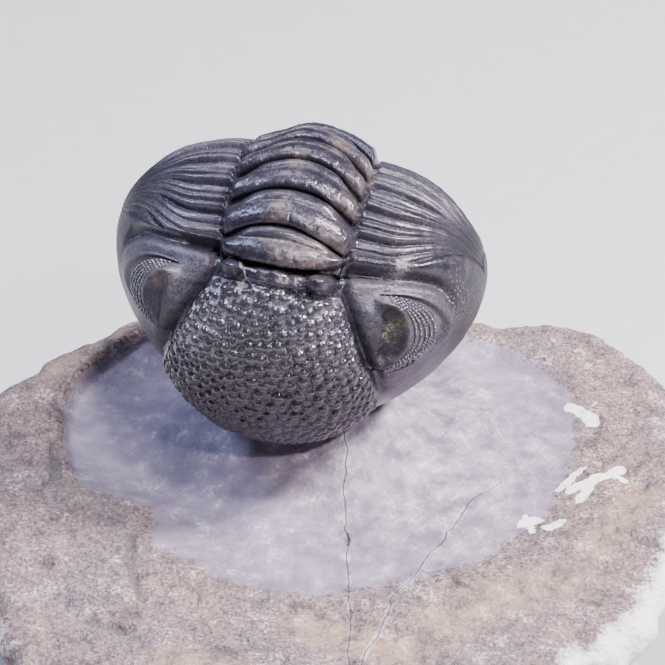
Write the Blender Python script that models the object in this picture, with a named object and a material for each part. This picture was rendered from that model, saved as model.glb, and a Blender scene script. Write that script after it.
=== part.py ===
"""Rolled-up trilobite, freed on a pedestal of its own limestone hand specimen.

Two pieces: the fossil shell and the rock that carries it.  Lengths inside the
functions are millimetres and angles are degrees, and every mesh is scaled to
metres when it is made.  The slab rests on its flat underside at z = 0, and the
head of the fossil looks towards -Y.
"""
import math

import bmesh
import bpy
import numpy as np

MM = 0.001

# Pose of the rolled shell: the hub line runs through both cheeks
HUB = (-2.5, 16.4, 38.3)
YAW = -11.4
ROLL = 4.5

# Rolled shell
COIL_RADIUS = 14.1
COIL_FORWARD = 3.75
COIL_DROP = 2.5
HALF_WIDTH = 19.6
GLABELLA_RISE = 2.55
LOBE_RISE = 2.9
SQUARENESS = ((-55.0, -0.028), (35.0, 0.06), (125.0, 0.12), (215.0, 0.03))
SQUARENESS_REACH = 45.0

# Positions round the coil, from the front rim over the head, back and tail
FRONT_RIM = -66.0
GLABELLA_FRONT = -61.0
GLABELLA_WIDEST = -25.0
GLABELLA_BACK = 33.5
PREOCCIPITAL_MID = 38.0
OCCIPITAL_FURROW = 42.4
FIRST_RING = 58.6
RING_PITCH = 16.2
THORAX_RINGS = 11
TAIL_START = FIRST_RING + RING_PITCH * THORAX_RINGS
TAIL_RINGS = 6
TAIL_PITCH = 7.9
TAIL_TIP = TAIL_START + TAIL_RINGS * TAIL_PITCH

# Half width of the raised middle lobe along the coil
GLABELLA_HALF_WIDTH = 11.5
LOBE_STATIONS = (-25.0, -6.0, 6.0, 20.0, 31.0, 38.0, 60.0, 110.0, 165.0, 236.0, 284.0)
LOBE_HALF_WIDTHS = (11.5, 10.7, 9.8, 8.4, 7.1, 6.2, 6.9, 7.0, 6.3, 4.7, 1.4)

# Relief of the shell
RING_GAP_DEPTH = 1.0
RING_CREST = 0.4
RING_SWELL = 0.3
RING_SHARE = 0.58
HALF_RING_CREST = 0.1
NECK_RING_BOW = 0.3
TAIL_GAP_DEPTH = 0.6
RIB_DEPTH = 0.5
RIB_GROOVES = ((0.17, 1.0), (0.68, 0.8), (-0.32, 0.8), (1.17, 1.0))
TAIL_RIB_DEPTH = 0.3
AXIAL_FURROW_DEPTH = 0.6
TUBERCLE_RISE = 0.2
HEAD_STEP = 0.25
HEAD_RIM = 0.3
OCCIPITAL_FURROW_DEPTH = 1.6
PREOCCIPITAL_DEPTH = 0.9
NODE_RISE = 1.0
NODE_OFFSET = 4.6
NODE_RADIUS = 1.3
BORDER_FURROW_DEPTH = 1.0
BORDER_RIDGE_RISE = 0.35
BORDER_FURROW = ((20, 29.5), (50, 29.8), (56, 29.0), (60, 26.0), (63, 20.0), (64.5, 13.0))
BORDER_RIDGE = ((21, 33.5), (40, 35.5), (57, 40.0), (66, 44.0))
HEAD_BACK = 39.5
HEAD_FRONT = -58.0
HEAD_EDGE = ((39.5, 44), (44.5, 57), (56, 67), (70, 76), (120, 80), (200, 79), (240, 74),
             (265, 60), (285, 38), (302, 0))

# Eye: a D-shaped visual band round the lobe above it
EYE_MID = 16.5
EYE_INNER = 10.9
EYE_LENGTH = 20.5
EYE_WIDTH = 4.95
EYE_RISE = 1.7
SOCLE_DEPTH = 0.3
CHEEK_RISE = 0.7

# Mesh of the shell
GLABELLA_COLUMNS = 27
RING_COLUMNS = (0.0, 0.17, 0.42, 0.68)
LOBE_ROWS = (0.0, 0.11, 0.22, 0.33, 0.44, 0.55, 0.66, 0.77, 0.88, 0.985)
FURROW_ROW = 0.55
CHEEK_STEPS = (0.08, 0.17, 0.27, 0.37, 0.48, 0.61, 0.78, 1.0)
SOCKET_GAP = 0.35

# Rock slab
SLAB_TOP = 18.0
SLAB_BASE_SHARE = 0.79
SLAB_OUTLINE = ((37.5, 10.0), (36.6, 19.5), (34.4, 24.5), (30.2, 28.8), (26.5, 31.6),
                (18.0, 32.3), (5.0, 32.6), (-8.0, 32.2), (-20.5, 30.8), (-25.5, 27.4),
                (-31.0, 23.4), (-35.5, 17.9), (-37.3, 8.0), (-36.4, -4.0), (-33.2, -14.6),
                (-29.2, -27.5), (-20.0, -32.4), (-5.0, -33.6), (10.0, -32.8),
                (23.0, -27.5), (29.5, -22.5), (33.0, -17.0), (35.4, -8.4), (37.4, 1.0))
RIM_BEVEL = 1.2
BACK_RIM_RISE = 1.4
BACK_RIM_AZIMUTH = 122.0
RAYS = 70
TOP_ROWS = 15
SLAB_ROWS = TOP_ROWS + 6

# Prepared hollow and pedestal
PEDESTAL_FOOT = (-3.2, 14.5)
PEDESTAL_RISE = 8.0
PEDESTAL_NECK = 5.0
PEDESTAL_REACH = 18.0
HOLLOW_CENTRE = (-1.0, 9.0)
HOLLOW_DEPTH = 1.6
HOLLOW_STATIONS = (-180, -165, -150, -135, -118, -100, -90, -70, -45, -20, 0, 20, 45, 90,
                   135, 160, 180)
HOLLOW_RADII = (27.0, 26.0, 20.0, 24.0, 24.5, 25.0, 25.5, 24.5, 26.0, 27.0, 28.0, 30.0,
                28.0, 24.0, 28.0, 29.0, 27.0)


def smooth(value, low, high):
    """Rises from 0 at low to 1 at high."""
    t = np.clip((value - low) / (high - low), 0.0, 1.0)
    return t * t * (3.0 - 2.0 * t)


def bell(value, centre, width):
    return np.exp(-((value - centre) / width) ** 2)


# Smooth form of the coil

def sagittal_radius(theta):
    """Distance from the hub line to the coil's circle, theta measured from straight ahead."""
    c = np.cos(np.radians(theta))
    s = np.sin(np.radians(theta))
    along = COIL_FORWARD * c - COIL_DROP * s
    reach = COIL_FORWARD ** 2 + COIL_DROP ** 2
    return along + np.sqrt(along ** 2 - reach + COIL_RADIUS ** 2)


def coil_angle(theta):
    """Angle round the coil's own centre for a direction theta from the hub line."""
    r = sagittal_radius(theta)
    ahead = r * np.cos(np.radians(theta)) - COIL_FORWARD
    above = r * np.sin(np.radians(theta)) + COIL_DROP
    angle = np.degrees(np.arctan2(above, ahead))
    return (angle - FRONT_RIM - 2.0) % 360.0 + FRONT_RIM + 2.0


def hub_direction(beta):
    """The inverse of coil_angle."""
    ahead = COIL_FORWARD + COIL_RADIUS * np.cos(np.radians(beta))
    above = COIL_RADIUS * np.sin(np.radians(beta)) - COIL_DROP
    return np.degrees(np.arctan2(above, ahead))


def form_radius(theta, alpha):
    """Distance from the hub's middle to the smooth form; alpha is 90 at the cheeks."""
    weights = 0.0
    total = 0.0
    for centre, value in SQUARENESS:
        away = (theta - centre + 180.0) % 360.0 - 180.0
        weight = bell(away, 0.0, SQUARENESS_REACH)
        weights = weights + weight
        total = total + weight * value
    a = np.radians(alpha)
    across = (np.cos(a) / sagittal_radius(theta)) ** 2 + (np.sin(a) / HALF_WIDTH) ** 2
    return (1.0 + total / weights * np.sin(2.0 * a) ** 2) / np.sqrt(across)


def form_point(theta, alpha):
    r = form_radius(theta, alpha)
    a = np.radians(alpha)
    t = np.radians(theta)
    return np.stack([r * np.sin(a), -r * np.cos(a) * np.cos(t), r * np.cos(a) * np.sin(t)], -1)


def form_normal(theta, alpha):
    step = 0.05
    inner = np.clip(alpha, -89.8, 89.8)
    round_coil = form_point(theta + step, inner) - form_point(theta - step, inner)
    across = form_point(theta, inner + step) - form_point(theta, inner - step)
    normal = np.cross(round_coil, across)
    normal /= np.linalg.norm(normal, axis=-1, keepdims=True)
    outward = np.sum(normal * form_point(theta, inner), axis=-1, keepdims=True)
    return normal * np.sign(outward)


def alpha_at(theta, x):
    """Angle across the form at which it is x wide."""
    table = np.linspace(0.0, 89.0, 900)
    widths = form_radius(theta, table) * np.sin(np.radians(table))
    return float(np.interp(x, widths, table))


# Relief of the shell

def lobe_width(beta):
    return np.interp(beta, LOBE_STATIONS, LOBE_HALF_WIDTHS)


def lobe_place(beta, x):
    """0 on the midline and 1 at the foot of the middle lobe."""
    beside = np.abs(x) / lobe_width(beta)
    ahead = (beta - GLABELLA_WIDEST) / (GLABELLA_FRONT - GLABELLA_WIDEST)
    front = np.hypot(x / GLABELLA_HALF_WIDTH, ahead)
    return np.where(beta < GLABELLA_WIDEST, front, beside)


def middle_lobe(beta, x):
    """The lobe is full on the glabella and a higher, rounder arch over the rings."""
    place = np.clip(lobe_place(beta, x), 0.0, 1.0)
    arched = smooth(beta, GLABELLA_BACK, FIRST_RING)
    full = GLABELLA_RISE * (1.0 - place ** 2.4) ** 0.7
    arch = LOBE_RISE * (1.0 - place ** 2)
    fade = 1.0 - 0.6 * smooth(beta, TAIL_START, TAIL_TIP)
    fade = fade - 0.4 * smooth(beta, TAIL_TIP - 4.0, TAIL_TIP + 3.0)
    return fade * (full * (1.0 - arched) + arch * arched)


def band_relief(phase, ring_end):
    """One ring and the half ring behind it, over a phase from 0 to 1."""
    front = smooth(phase, 0.0, 0.15)
    back = 1.0 - smooth(phase, 0.88, 1.0)
    crest = RING_CREST * (1.0 - ((phase / ring_end - 0.4) / 0.7) ** 2)
    half_ring = HALF_RING_CREST * bell(phase, (1.0 + ring_end) / 2.0, 0.14)
    top = np.where(phase < ring_end, crest, half_ring)
    return -RING_GAP_DEPTH + (RING_GAP_DEPTH + top) * front * back


def ring_relief(beta, x):
    """Axial rings of the neck, the back and the tail."""
    place = lobe_place(beta, x)
    ends = np.clip(place, 0.0, 1.0) ** 2.5
    bowed = NECK_RING_BOW * ends * (beta < FIRST_RING)
    count = (beta - FIRST_RING) / RING_PITCH - bowed
    phase = count - np.floor(count)
    ring_end = RING_SHARE + (0.95 - RING_SHARE) * ends
    body = band_relief(phase, ring_end) + RING_SWELL * bell(place, 0.8, 0.16) * bell(phase, 0.4, 0.25)
    tail_count = (beta - TAIL_START) / TAIL_PITCH
    tail_fade = 1.0 - 0.75 * smooth(tail_count, 0.0, TAIL_RINGS)
    tail = -TAIL_GAP_DEPTH * tail_fade * np.abs(np.cos(np.pi * tail_count)) ** 6
    relief = np.where(beta < TAIL_START, body, tail)
    held = (1.0 - smooth(place, 0.9, 1.02)) * smooth(beta, OCCIPITAL_FURROW - 1.0, OCCIPITAL_FURROW + 0.5)
    return relief * held * (beta < TAIL_TIP)


def rib_relief(beta, x, alpha):
    """Two ribs to each segment, running from the rings towards the hub."""
    count = (beta - FIRST_RING) / RING_PITCH
    phase = count - np.floor(count)
    depth = 0.0
    for place, strength in RIB_GROOVES:
        depth = depth - strength * RIB_DEPTH * bell(phase, place, 0.11)
    tail_count = (beta - TAIL_START) / TAIL_PITCH
    tail_fade = 1.0 - smooth(tail_count, TAIL_RINGS - 3.0, TAIL_RINGS)
    tail = -TAIL_RIB_DEPTH * np.abs(np.cos(np.pi * tail_count)) ** 4 * tail_fade
    depth = np.where(beta < TAIL_START, depth, tail)
    beside = smooth(np.abs(x) - lobe_width(beta), 0.1, 0.9)
    reach = 1.0 - 0.75 * smooth(np.abs(alpha), 54.0, 66.0) - 0.25 * smooth(np.abs(alpha), 72.0, 82.0)
    return (depth + 0.1) * beside * reach


def head_inset(theta, alpha, radius):
    """Distance inside the edge of the head shield, negative on the back and tail."""
    ring = radius * np.cos(np.radians(alpha))
    turned = (theta - HEAD_FRONT) % 360.0 + HEAD_FRONT
    along = np.minimum(HEAD_BACK - turned, turned - HEAD_FRONT) * np.radians(ring)
    edge = np.interp(turned, [p[0] for p in HEAD_EDGE], [p[1] for p in HEAD_EDGE])
    across = (np.abs(alpha) - edge) * np.radians(radius)
    across = np.where(turned < HEAD_BACK, along, across)
    return np.maximum(along, across)


def line_distance(theta, alpha, radius, points):
    """Distance over the surface to a line of (alpha, theta) points."""
    ring = radius * np.cos(np.radians(alpha))
    best = np.full(np.shape(alpha), 99.0)
    for (a0, t0), (a1, t1) in zip(points[:-1], points[1:]):
        ax = (np.abs(alpha) - a0) * np.radians(radius)
        ay = (theta - t0) * np.radians(ring)
        bx = (a1 - a0) * np.radians(radius)
        by = (t1 - t0) * np.radians(ring)
        share = np.clip((ax * bx + ay * by) / (bx * bx + by * by), 0.0, 1.0)
        best = np.minimum(best, np.hypot(ax - share * bx, ay - share * by))
    return best


def eye_relief(beta, x):
    """Raised eye lobe with the sloping lens band round its outer side."""
    along = np.abs(beta - EYE_MID) / EYE_LENGTH
    out = (np.abs(x) - EYE_INNER) / EYE_WIDTH
    place = (along ** 2.5 + np.clip(out, 0.0, 9.0) ** 2.5) ** 0.4
    lobe = EYE_RISE * (1.0 - smooth(place, 0.58, 1.05))
    inner_edge = smooth(out, -0.22, 0.04)
    socle = -SOCLE_DEPTH * bell(place, 1.12, 0.1) * (out > 0)
    cheek = CHEEK_RISE * smooth(out, -0.6, -0.1) * (1.0 - smooth(along, 0.5, 1.1)) * (out < 0.05)
    return lobe * inner_edge + socle + cheek * (1.0 - inner_edge)


def head_relief(theta, alpha, beta, x, radius):
    place = lobe_place(beta, x)
    beside = np.abs(x) - lobe_width(beta)
    on_head = beta < OCCIPITAL_FURROW + 2.0
    groove = -AXIAL_FURROW_DEPTH * bell(beside, 0.4, 0.7) * smooth(beta, -32.0, -12.0)
    neck = -OCCIPITAL_FURROW_DEPTH * bell(beta, OCCIPITAL_FURROW - 0.4, 1.5)
    neck = neck - PREOCCIPITAL_DEPTH * bell(beta, GLABELLA_BACK + 0.6, 1.3)
    neck = neck - PREOCCIPITAL_DEPTH * bell(beta, PREOCCIPITAL_MID, 3.2)
    neck = neck * (1.0 - smooth(place, 0.85, 1.05))
    node = np.hypot((beta - PREOCCIPITAL_MID) * 0.28, np.abs(x) - NODE_OFFSET)
    neck = neck + NODE_RISE * np.exp(-(node / NODE_RADIUS) ** 4)
    furrow = line_distance(theta, alpha, radius, BORDER_FURROW)
    ridge = line_distance(theta, alpha, radius, BORDER_RIDGE)
    outside = smooth(beside, -0.3, 0.6)
    reach = 1.0 - smooth(np.abs(alpha), 58.0, 65.0)
    border = BORDER_RIDGE_RISE * bell(ridge, 0.0, 1.1)
    border = border - BORDER_FURROW_DEPTH * bell(furrow, 0.0, 0.8) * reach
    rim = HEAD_RIM * (bell(beta, FRONT_RIM + 1.0, 1.8) - bell(beta, FRONT_RIM + 4.5, 1.5))
    rim = rim * smooth(place, 0.9, 1.1)
    return (groove + neck) * on_head + border * outside + rim + eye_relief(beta, x) * outside


def shell_relief(theta, alpha, peak):
    """Height of the shell over the smooth form; peak is 1 or -1 on the glabella and else 0."""
    radius = form_radius(theta, alpha)
    x = radius * np.sin(np.radians(alpha))
    beta = coil_angle(theta)
    inset = head_inset(theta, alpha, radius)
    on_head = smooth(inset, -0.4, 0.3)
    place = lobe_place(beta, x)
    on_lobe = 1.0 - smooth(place, 0.95, 1.05)
    warts = TUBERCLE_RISE * peak * (1.0 - smooth(place, 0.86, 0.95))
    groove = -0.4 * AXIAL_FURROW_DEPTH * bell(np.abs(x) - lobe_width(beta), 0.4, 0.6)
    back = rib_relief(beta, x, alpha) * (1.0 - on_lobe) + groove * (beta < TAIL_TIP)
    head = head_relief(theta, alpha, beta, x, radius)
    head = head - HEAD_STEP * (1.0 - smooth(inset, 0.0, 0.8)) * (1.0 - on_lobe)
    mixed = head * on_head + back * (1.0 - on_head)
    on_axis = np.where(beta < OCCIPITAL_FURROW + 1.0, head, groove)
    relief = mixed * (1.0 - on_lobe) + on_axis * on_lobe
    return relief + middle_lobe(beta, x) + ring_relief(beta, x) + warts


def coil_columns():
    """Positions round the coil, from the front rim to the tail's edge."""
    glabella = np.linspace(GLABELLA_FRONT, GLABELLA_BACK - 1.5, GLABELLA_COLUMNS)
    neck = [GLABELLA_BACK + 0.8, PREOCCIPITAL_MID, OCCIPITAL_FURROW - 0.6]
    rings = []
    for ring in range(-1, THORAX_RINGS):
        rings += [FIRST_RING + RING_PITCH * (ring + part) for part in RING_COLUMNS]
    rings = [b for b in rings if b > OCCIPITAL_FURROW + 1.0]
    tail = [TAIL_START + TAIL_PITCH * step / 2.0 for step in range(2 * TAIL_RINGS)]
    tail.append(TAIL_TIP + 3.0)
    return [FRONT_RIM + 1.0, FRONT_RIM + 3.0] + list(glabella) + neck + rings + tail


def across_rows(theta, beta):
    """Angles across the form from the midline to the cheek, for one column."""
    width = max(float(lobe_width(beta)), 7.0 if beta < 0 else 2.6)
    if beta > TAIL_START:
        width = max(width, 4.0)
    xs = [place * width for place in LOBE_ROWS] + [width + FURROW_ROW]
    inner = [alpha_at(theta, x) for x in xs]
    last = inner[-1]
    outer = [last + (90.0 - last) * step for step in CHEEK_STEPS]
    return inner + outer


def posed(points):
    """Turns and moves points of the coil's own frame to their place on the rock."""
    roll = math.radians(ROLL)
    yaw = math.radians(YAW)
    x, y, z = points[:, 0], points[:, 1], points[:, 2]
    x, z = x * math.cos(roll) + z * math.sin(roll), z * math.cos(roll) - x * math.sin(roll)
    x, y = x * math.cos(yaw) - y * math.sin(yaw), x * math.sin(yaw) + y * math.cos(yaw)
    return np.stack([x, y, z], -1) + np.array(HUB)


def split_between_peaks(bm, peak):
    """Divides each four-sided face of the glabella through its low corners: each wart stands alone."""
    for face in [f for f in bm.faces if len(f.verts) == 4]:
        low = [v for v in face.verts if peak[v.index] < 0]
        if len(low) == 2 and all(peak[v.index] for v in face.verts):
            bmesh.utils.face_split(face, low[0], low[1])


def shell_object(name, swell=0.0):
    """A globe with its poles at the cheeks, shaped into the rolled shell."""
    columns = coil_columns()
    half_rows = len(LOBE_ROWS) + len(CHEEK_STEPS)
    rows = 2 * half_rows
    bm = bmesh.new()
    bmesh.ops.create_uvsphere(bm, u_segments=len(columns), v_segments=rows, radius=1.0)
    theta = np.zeros(len(bm.verts))
    alpha = np.zeros(len(bm.verts))
    peak = np.zeros(len(bm.verts))
    table = [across_rows(float(hub_direction(b)), b) for b in columns]
    for number, vert in enumerate(bm.verts):
        turn = math.atan2(vert.co.y, vert.co.x) / (2.0 * math.pi) * len(columns)
        column = math.floor(turn + 0.3) % len(columns)
        tilt = math.asin(max(-1.0, min(1.0, vert.co.z))) / math.pi * rows
        row = int(round(tilt))
        theta[number] = hub_direction(columns[column])
        alpha[number] = math.copysign(table[column][abs(row)], -row)
        if columns[column] < GLABELLA_BACK and abs(row) < len(LOBE_ROWS) - 1:
            peak[number] = 1.0 if (column + row) % 2 else -1.0
    bm.verts.index_update()
    split_between_peaks(bm, peak)
    points = form_point(theta, alpha)
    height = shell_relief(theta, alpha, peak) + swell
    points = points + form_normal(theta, alpha) * height[:, None]
    for vert, point in zip(bm.verts, posed(points) * MM):
        vert.co = point
    bmesh.ops.recalc_face_normals(bm, faces=bm.faces)
    return finished(name, bm)


# Rock

def outline_radius(azimuth):
    """Distance from the slab's middle to its rim."""
    angles = [math.degrees(math.atan2(y, x)) for x, y in SLAB_OUTLINE]
    radii = [math.hypot(x, y) for x, y in SLAB_OUTLINE]
    return float(np.interp(azimuth, angles, radii, period=360.0))


def rim_radius(azimuth):
    """The outline with its nibbled edge of broken stone."""
    turn = math.radians(azimuth)
    return outline_radius(azimuth) + 0.35 * math.sin(turn * 23.0) + 0.3 * math.sin(turn * 11.0 + 2.0)


def hollow_radius(azimuth):
    return np.interp((azimuth + 180.0) % 360.0 - 180.0, HOLLOW_STATIONS, HOLLOW_RADII)


def top_height(x, y):
    """Height of the slab's upper face, with the prepared hollow and the pedestal."""
    uneven = 0.35 * np.sin(x * 0.21 + 1.3) * np.cos(y * 0.17 + 0.4) + 0.2 * np.sin(x * 0.5 + y * 0.37)
    away = np.hypot(x - HOLLOW_CENTRE[0], y - HOLLOW_CENTRE[1])
    azimuth = np.degrees(np.arctan2(y - HOLLOW_CENTRE[1], x - HOLLOW_CENTRE[0]))
    edge = hollow_radius(azimuth)
    sunk = HOLLOW_DEPTH * (1.0 - smooth(away, edge - 1.2, edge + 0.9))
    foot = np.hypot(x - PEDESTAL_FOOT[0], y - PEDESTAL_FOOT[1])
    cone = PEDESTAL_RISE * (1.0 - smooth(foot, PEDESTAL_NECK, PEDESTAL_REACH) ** 0.6)
    bearing = np.degrees(np.arctan2(y, x))
    back_rim = BACK_RIM_RISE * bell(bearing, BACK_RIM_AZIMUTH, 26.0)
    back_rim = back_rim * smooth(np.hypot(x, y), 30.0, 36.0)
    return SLAB_TOP + uneven - sunk + cone + back_rim


def rock_profile(row, azimuth):
    """Share of the outline and height for a row, or None where the top face sets it."""
    ragged = 0.5 * np.sin(np.radians(azimuth) * 7.0 + 0.8) + 0.4 * np.sin(np.radians(azimuth) * 17.0)
    side = {
        TOP_ROWS + 1: (1.02, SLAB_TOP - RIM_BEVEL - 1.2 + 0.8 * ragged),
        TOP_ROWS + 2: (0.98, SLAB_TOP * 0.55 + ragged),
        TOP_ROWS + 3: (0.9, SLAB_TOP * 0.22 + 0.6 * ragged),
        TOP_ROWS + 4: (SLAB_BASE_SHARE, 0.0),
        TOP_ROWS + 5: (SLAB_BASE_SHARE * 0.5, 0.0),
        TOP_ROWS + 6: (0.0, 0.0),
    }
    return side.get(row)


def rock_object(name):
    """A globe whose rings become the top face, the broken sides and the flat base."""
    bm = bmesh.new()
    bmesh.ops.create_uvsphere(bm, u_segments=RAYS, v_segments=SLAB_ROWS, radius=1.0)
    for vert in bm.verts:
        azimuth = math.degrees(math.atan2(vert.co.y, vert.co.x))
        row = int(round(math.acos(max(-1.0, min(1.0, vert.co.z))) / math.pi * SLAB_ROWS))
        rim = rim_radius(azimuth)
        side = rock_profile(row, azimuth)
        share = side[0] if side else (1.0 - RIM_BEVEL / rim) * (row / TOP_ROWS) ** 0.95
        x = rim * share * math.cos(math.radians(azimuth))
        y = rim * share * math.sin(math.radians(azimuth))
        z = side[1] if side else float(top_height(x, y))
        vert.co = (x * MM, y * MM, z * MM)
    bmesh.ops.recalc_face_normals(bm, faces=bm.faces)
    return finished(name, bm)


# Objects, materials and the scene

def finished(name, bm):
    mesh = bpy.data.meshes.new(name)
    bm.to_mesh(mesh)
    bm.free()
    mesh.shade_smooth()
    return bpy.data.objects.new(name, mesh)


def stone_material(name, colour, roughness):
    material = bpy.data.materials.new(name)
    material.use_nodes = True
    shader = material.node_tree.nodes["Principled BSDF"]
    shader.inputs["Base Color"].default_value = (*colour, 1.0)
    shader.inputs["Roughness"].default_value = roughness
    shader.inputs["Metallic"].default_value = 0.0
    return material


def main():
    for old in list(bpy.data.objects):
        bpy.data.objects.remove(old, do_unlink=True)
    parts = bpy.data.collections.new("trilobite_specimen")
    cutters = bpy.data.collections.new("cutters")
    bpy.context.scene.collection.children.link(parts)
    bpy.context.scene.collection.children.link(cutters)

    trilobite = shell_object("trilobite")
    trilobite.data.materials.append(stone_material("dark_shell", (0.035, 0.034, 0.042), 0.35))
    parts.objects.link(trilobite)

    rock = rock_object("rock_matrix")
    rock.data.materials.append(stone_material("limestone", (0.42, 0.37, 0.36), 0.9))
    parts.objects.link(rock)

    socket = shell_object("socket_cutter", swell=SOCKET_GAP)
    socket.hide_render = True
    socket.display_type = "WIRE"
    cutters.objects.link(socket)

    cut = rock.modifiers.new("socket", "BOOLEAN")
    cut.operation = "DIFFERENCE"
    cut.solver = "EXACT"
    cut.object = socket


main()
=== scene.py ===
"""Looks of a rolled-up trilobite, freed on a pedestal of its own limestone.

Lengths inside the functions are millimetres and angles are degrees, and every mesh
is scaled to metres when it is made.  The shell is one surface, worked out on a grid
that runs round the coil and across it, and then parted along the lines of the real
shell: the glabella, the rest of the head shield, eleven segments and the tail.
"""
import math
from types import SimpleNamespace

import bpy
import numpy as np
from mathutils import Matrix, Vector


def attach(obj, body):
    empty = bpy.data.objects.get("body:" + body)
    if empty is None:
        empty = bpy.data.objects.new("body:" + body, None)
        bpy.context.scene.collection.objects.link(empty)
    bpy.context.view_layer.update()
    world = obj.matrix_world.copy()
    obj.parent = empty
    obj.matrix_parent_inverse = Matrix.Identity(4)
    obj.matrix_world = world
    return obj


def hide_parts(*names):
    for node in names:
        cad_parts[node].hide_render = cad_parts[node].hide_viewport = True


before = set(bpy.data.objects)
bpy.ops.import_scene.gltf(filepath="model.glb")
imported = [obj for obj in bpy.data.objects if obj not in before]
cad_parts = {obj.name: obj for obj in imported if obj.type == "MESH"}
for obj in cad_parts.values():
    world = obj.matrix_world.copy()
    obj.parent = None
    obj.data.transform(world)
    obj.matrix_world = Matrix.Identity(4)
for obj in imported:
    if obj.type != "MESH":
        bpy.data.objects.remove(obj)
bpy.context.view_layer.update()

MM = 0.001
rng = np.random.default_rng(31)

# Pose of the rolled shell: the hub line runs through both cheeks
HUB = (-2.5, 16.4, 38.3)
YAW = -11.4
ROLL = 4.5

# Rolled shell
COIL_RADIUS = 14.1
COIL_FORWARD = 3.75
COIL_DROP = 2.5
HALF_WIDTH = 19.6
SQUARENESS = ((-55.0, -0.028), (35.0, 0.06), (125.0, 0.12), (215.0, 0.03))
SQUARENESS_REACH = 45.0

# Positions round the coil, from the front rim over the head, back and tail
FRONT_RIM = -66.0
GLABELLA_FRONT = -61.0
GLABELLA_WIDEST = -25.0
GLABELLA_BACK = 33.5
PREOCCIPITAL_MID = 38.0
OCCIPITAL_FURROW = 42.4
RING_FRONTS = (56.8, 72.8, 88.0, 103.0, 119.7, 136.5, 153.2, 169.9, 186.6, 203.3, 220.1, 236.8)
FIRST_RING = RING_FRONTS[0]
RING_PITCH = 16.2
THORAX_RINGS = 11
TAIL_START = RING_FRONTS[-1]
TAIL_RINGS = 6
TAIL_PITCH = 7.9
TAIL_TIP = TAIL_START + TAIL_RINGS * TAIL_PITCH
ROUND = 360.0

# Half widths of the raised middle lobe at stations along the coil
GLABELLA_HALF_WIDTH = 11.5
LOBE_STATIONS = (-25.0, -6.0, 6.0, 20.0, 31.0, 38.0, 60.0, 110.0, 128.0, 165.0, 236.0, 284.0)
LOBE_HALF_WIDTHS = (11.5, 10.7, 9.8, 8.4, 7.1, 6.2, 6.9, 7.0, 6.4, 5.9, 4.7, 1.4)
GRID_TAIL_WIDTH = 4.0

# Heights of the middle lobe and its rings; a table's first number is the place in a ring
GLABELLA_RISE = 2.55
LOBE_RISE = 2.9
RING_HEIGHTS = ((0.0, -1.2), (0.03, -0.75), (0.06, -0.22), (0.1, 0.12), (0.16, 0.36), (0.26, 0.5),
                (0.38, 0.44), (0.5, 0.24), (0.57, 0.08))
HALF_RING_HEIGHTS = ((0.57, 0.08), (0.59, -0.06), (0.66, 0.08), (0.76, 0.12), (0.86, -0.02),
                     (0.93, -0.35), (1.0, -1.2))
RING_END_HEIGHTS = ((0.0, -1.2), (0.05, -0.6), (0.1, -0.05), (0.2, 0.36), (0.34, 0.42), (0.5, 0.26),
                    (0.65, -0.05), (0.8, -0.5), (0.92, -0.95), (1.0, -1.2))
RING_LEANS = ((0.0, -0.04), (0.04, 0.04), (0.085, 0.1), (0.14, 0.09), (0.3, 0.04), (0.5, 0.0),
              (0.88, 0.0), (0.95, -0.02), (1.0, -0.04))
RING_BOWS = ((58.0, 0.3), (75.0, 0.37), (91.0, 0.52), (107.0, 0.68), (150.0, 0.6))
RING_HOOK = 0.9
RING_PIT_DEPTH = 0.05
LEFT_RINGS_DROP = 0.75
RING_SWELL = 0.22
NECK_RING_BOW = 0.33
TAIL_GAP_DEPTH = 0.6

# Ribs of the sides: place in a segment, depth and width of each of its three grooves
RIB_GROOVES = ((0.2, 0.42, 0.075), (0.52, 0.26, 0.06), (0.83, 0.16, 0.05))
RIB_RISE = 0.2
RIB_BULGE = 0.2
RIB_MEETING = 90.0
TAIL_RIB_DEPTH = 0.3

# Head: edges as (angle across, angle round), and lumps, veins, furrows and ridge
HEAD_FRONT = -58.0
HEAD_FRONT_UNDER = -72.0
HEAD_BACK_RIGHT = ((0, 37.0), (45, 37.0), (50, 39.5), (55, 44.5), (64, 52.0), (73, 58.5), (82, 64.0))
HEAD_BACK_LEFT = ((0, 32.0), (38, 33.0), (47, 33.5), (54, 35.5), (65, 39.0), (74, 43.0), (82, 55.0))
HEAD_SIDE = ((50, 84), (64, 82), (80, 80), (120, 80), (200, 79), (240, 74), (265, 60), (285, 38), (302, 0))
HEAD_STEP = 0.25
AXIAL_FURROW_DEPTH = 0.75
OCCIPITAL_FURROW_DEPTH = 1.6
PREOCCIPITAL_DEPTH = 0.65
NECK_LUMPS = ((39.6, -4.7, 1.55, 2.4), (39.0, 4.6, 1.65, 2.3), (38.2, -1.7, 1.3, 1.0),
              (38.6, -0.2, 1.5, 0.8), (36.6, 0.6, 1.4, 0.85), (37.6, 2.1, 1.2, 0.8), (35.4, -1.4, 1.0, 0.5))
NECK_VEINS = (((42.6, -5.4), (43.4, -4.2), (41.3, -3.7), (38.6, -3.2), (36.6, -2.9), (34.0, -2.1),
               (32.6, -1.5)), ((39.8, -3.4), (39.6, -2.7), (38.9, -1.9)),
              ((36.0, -2.8), (34.6, -3.2), (33.6, -3.1)))
VEIN_WIDTH = 0.085
VEIN_HEIGHT = 0.09
NECK_PIT_DEPTH = 0.6
RIM_ROLL = 0.3
BORDER_FURROW_DEPTH = 1.0
BORDER_RIDGE_RISE = 0.4
BORDER_FURROW = ((20, 29.5), (50, 29.8), (56, 29.0), (60, 26.0), (63, 20.0), (64.5, 13.0))
BORDER_RIDGE = ((21, 33.5), (40, 35.5), (57, 40.0), (66, 44.0))
CHEEK_RISE = 0.7

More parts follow.
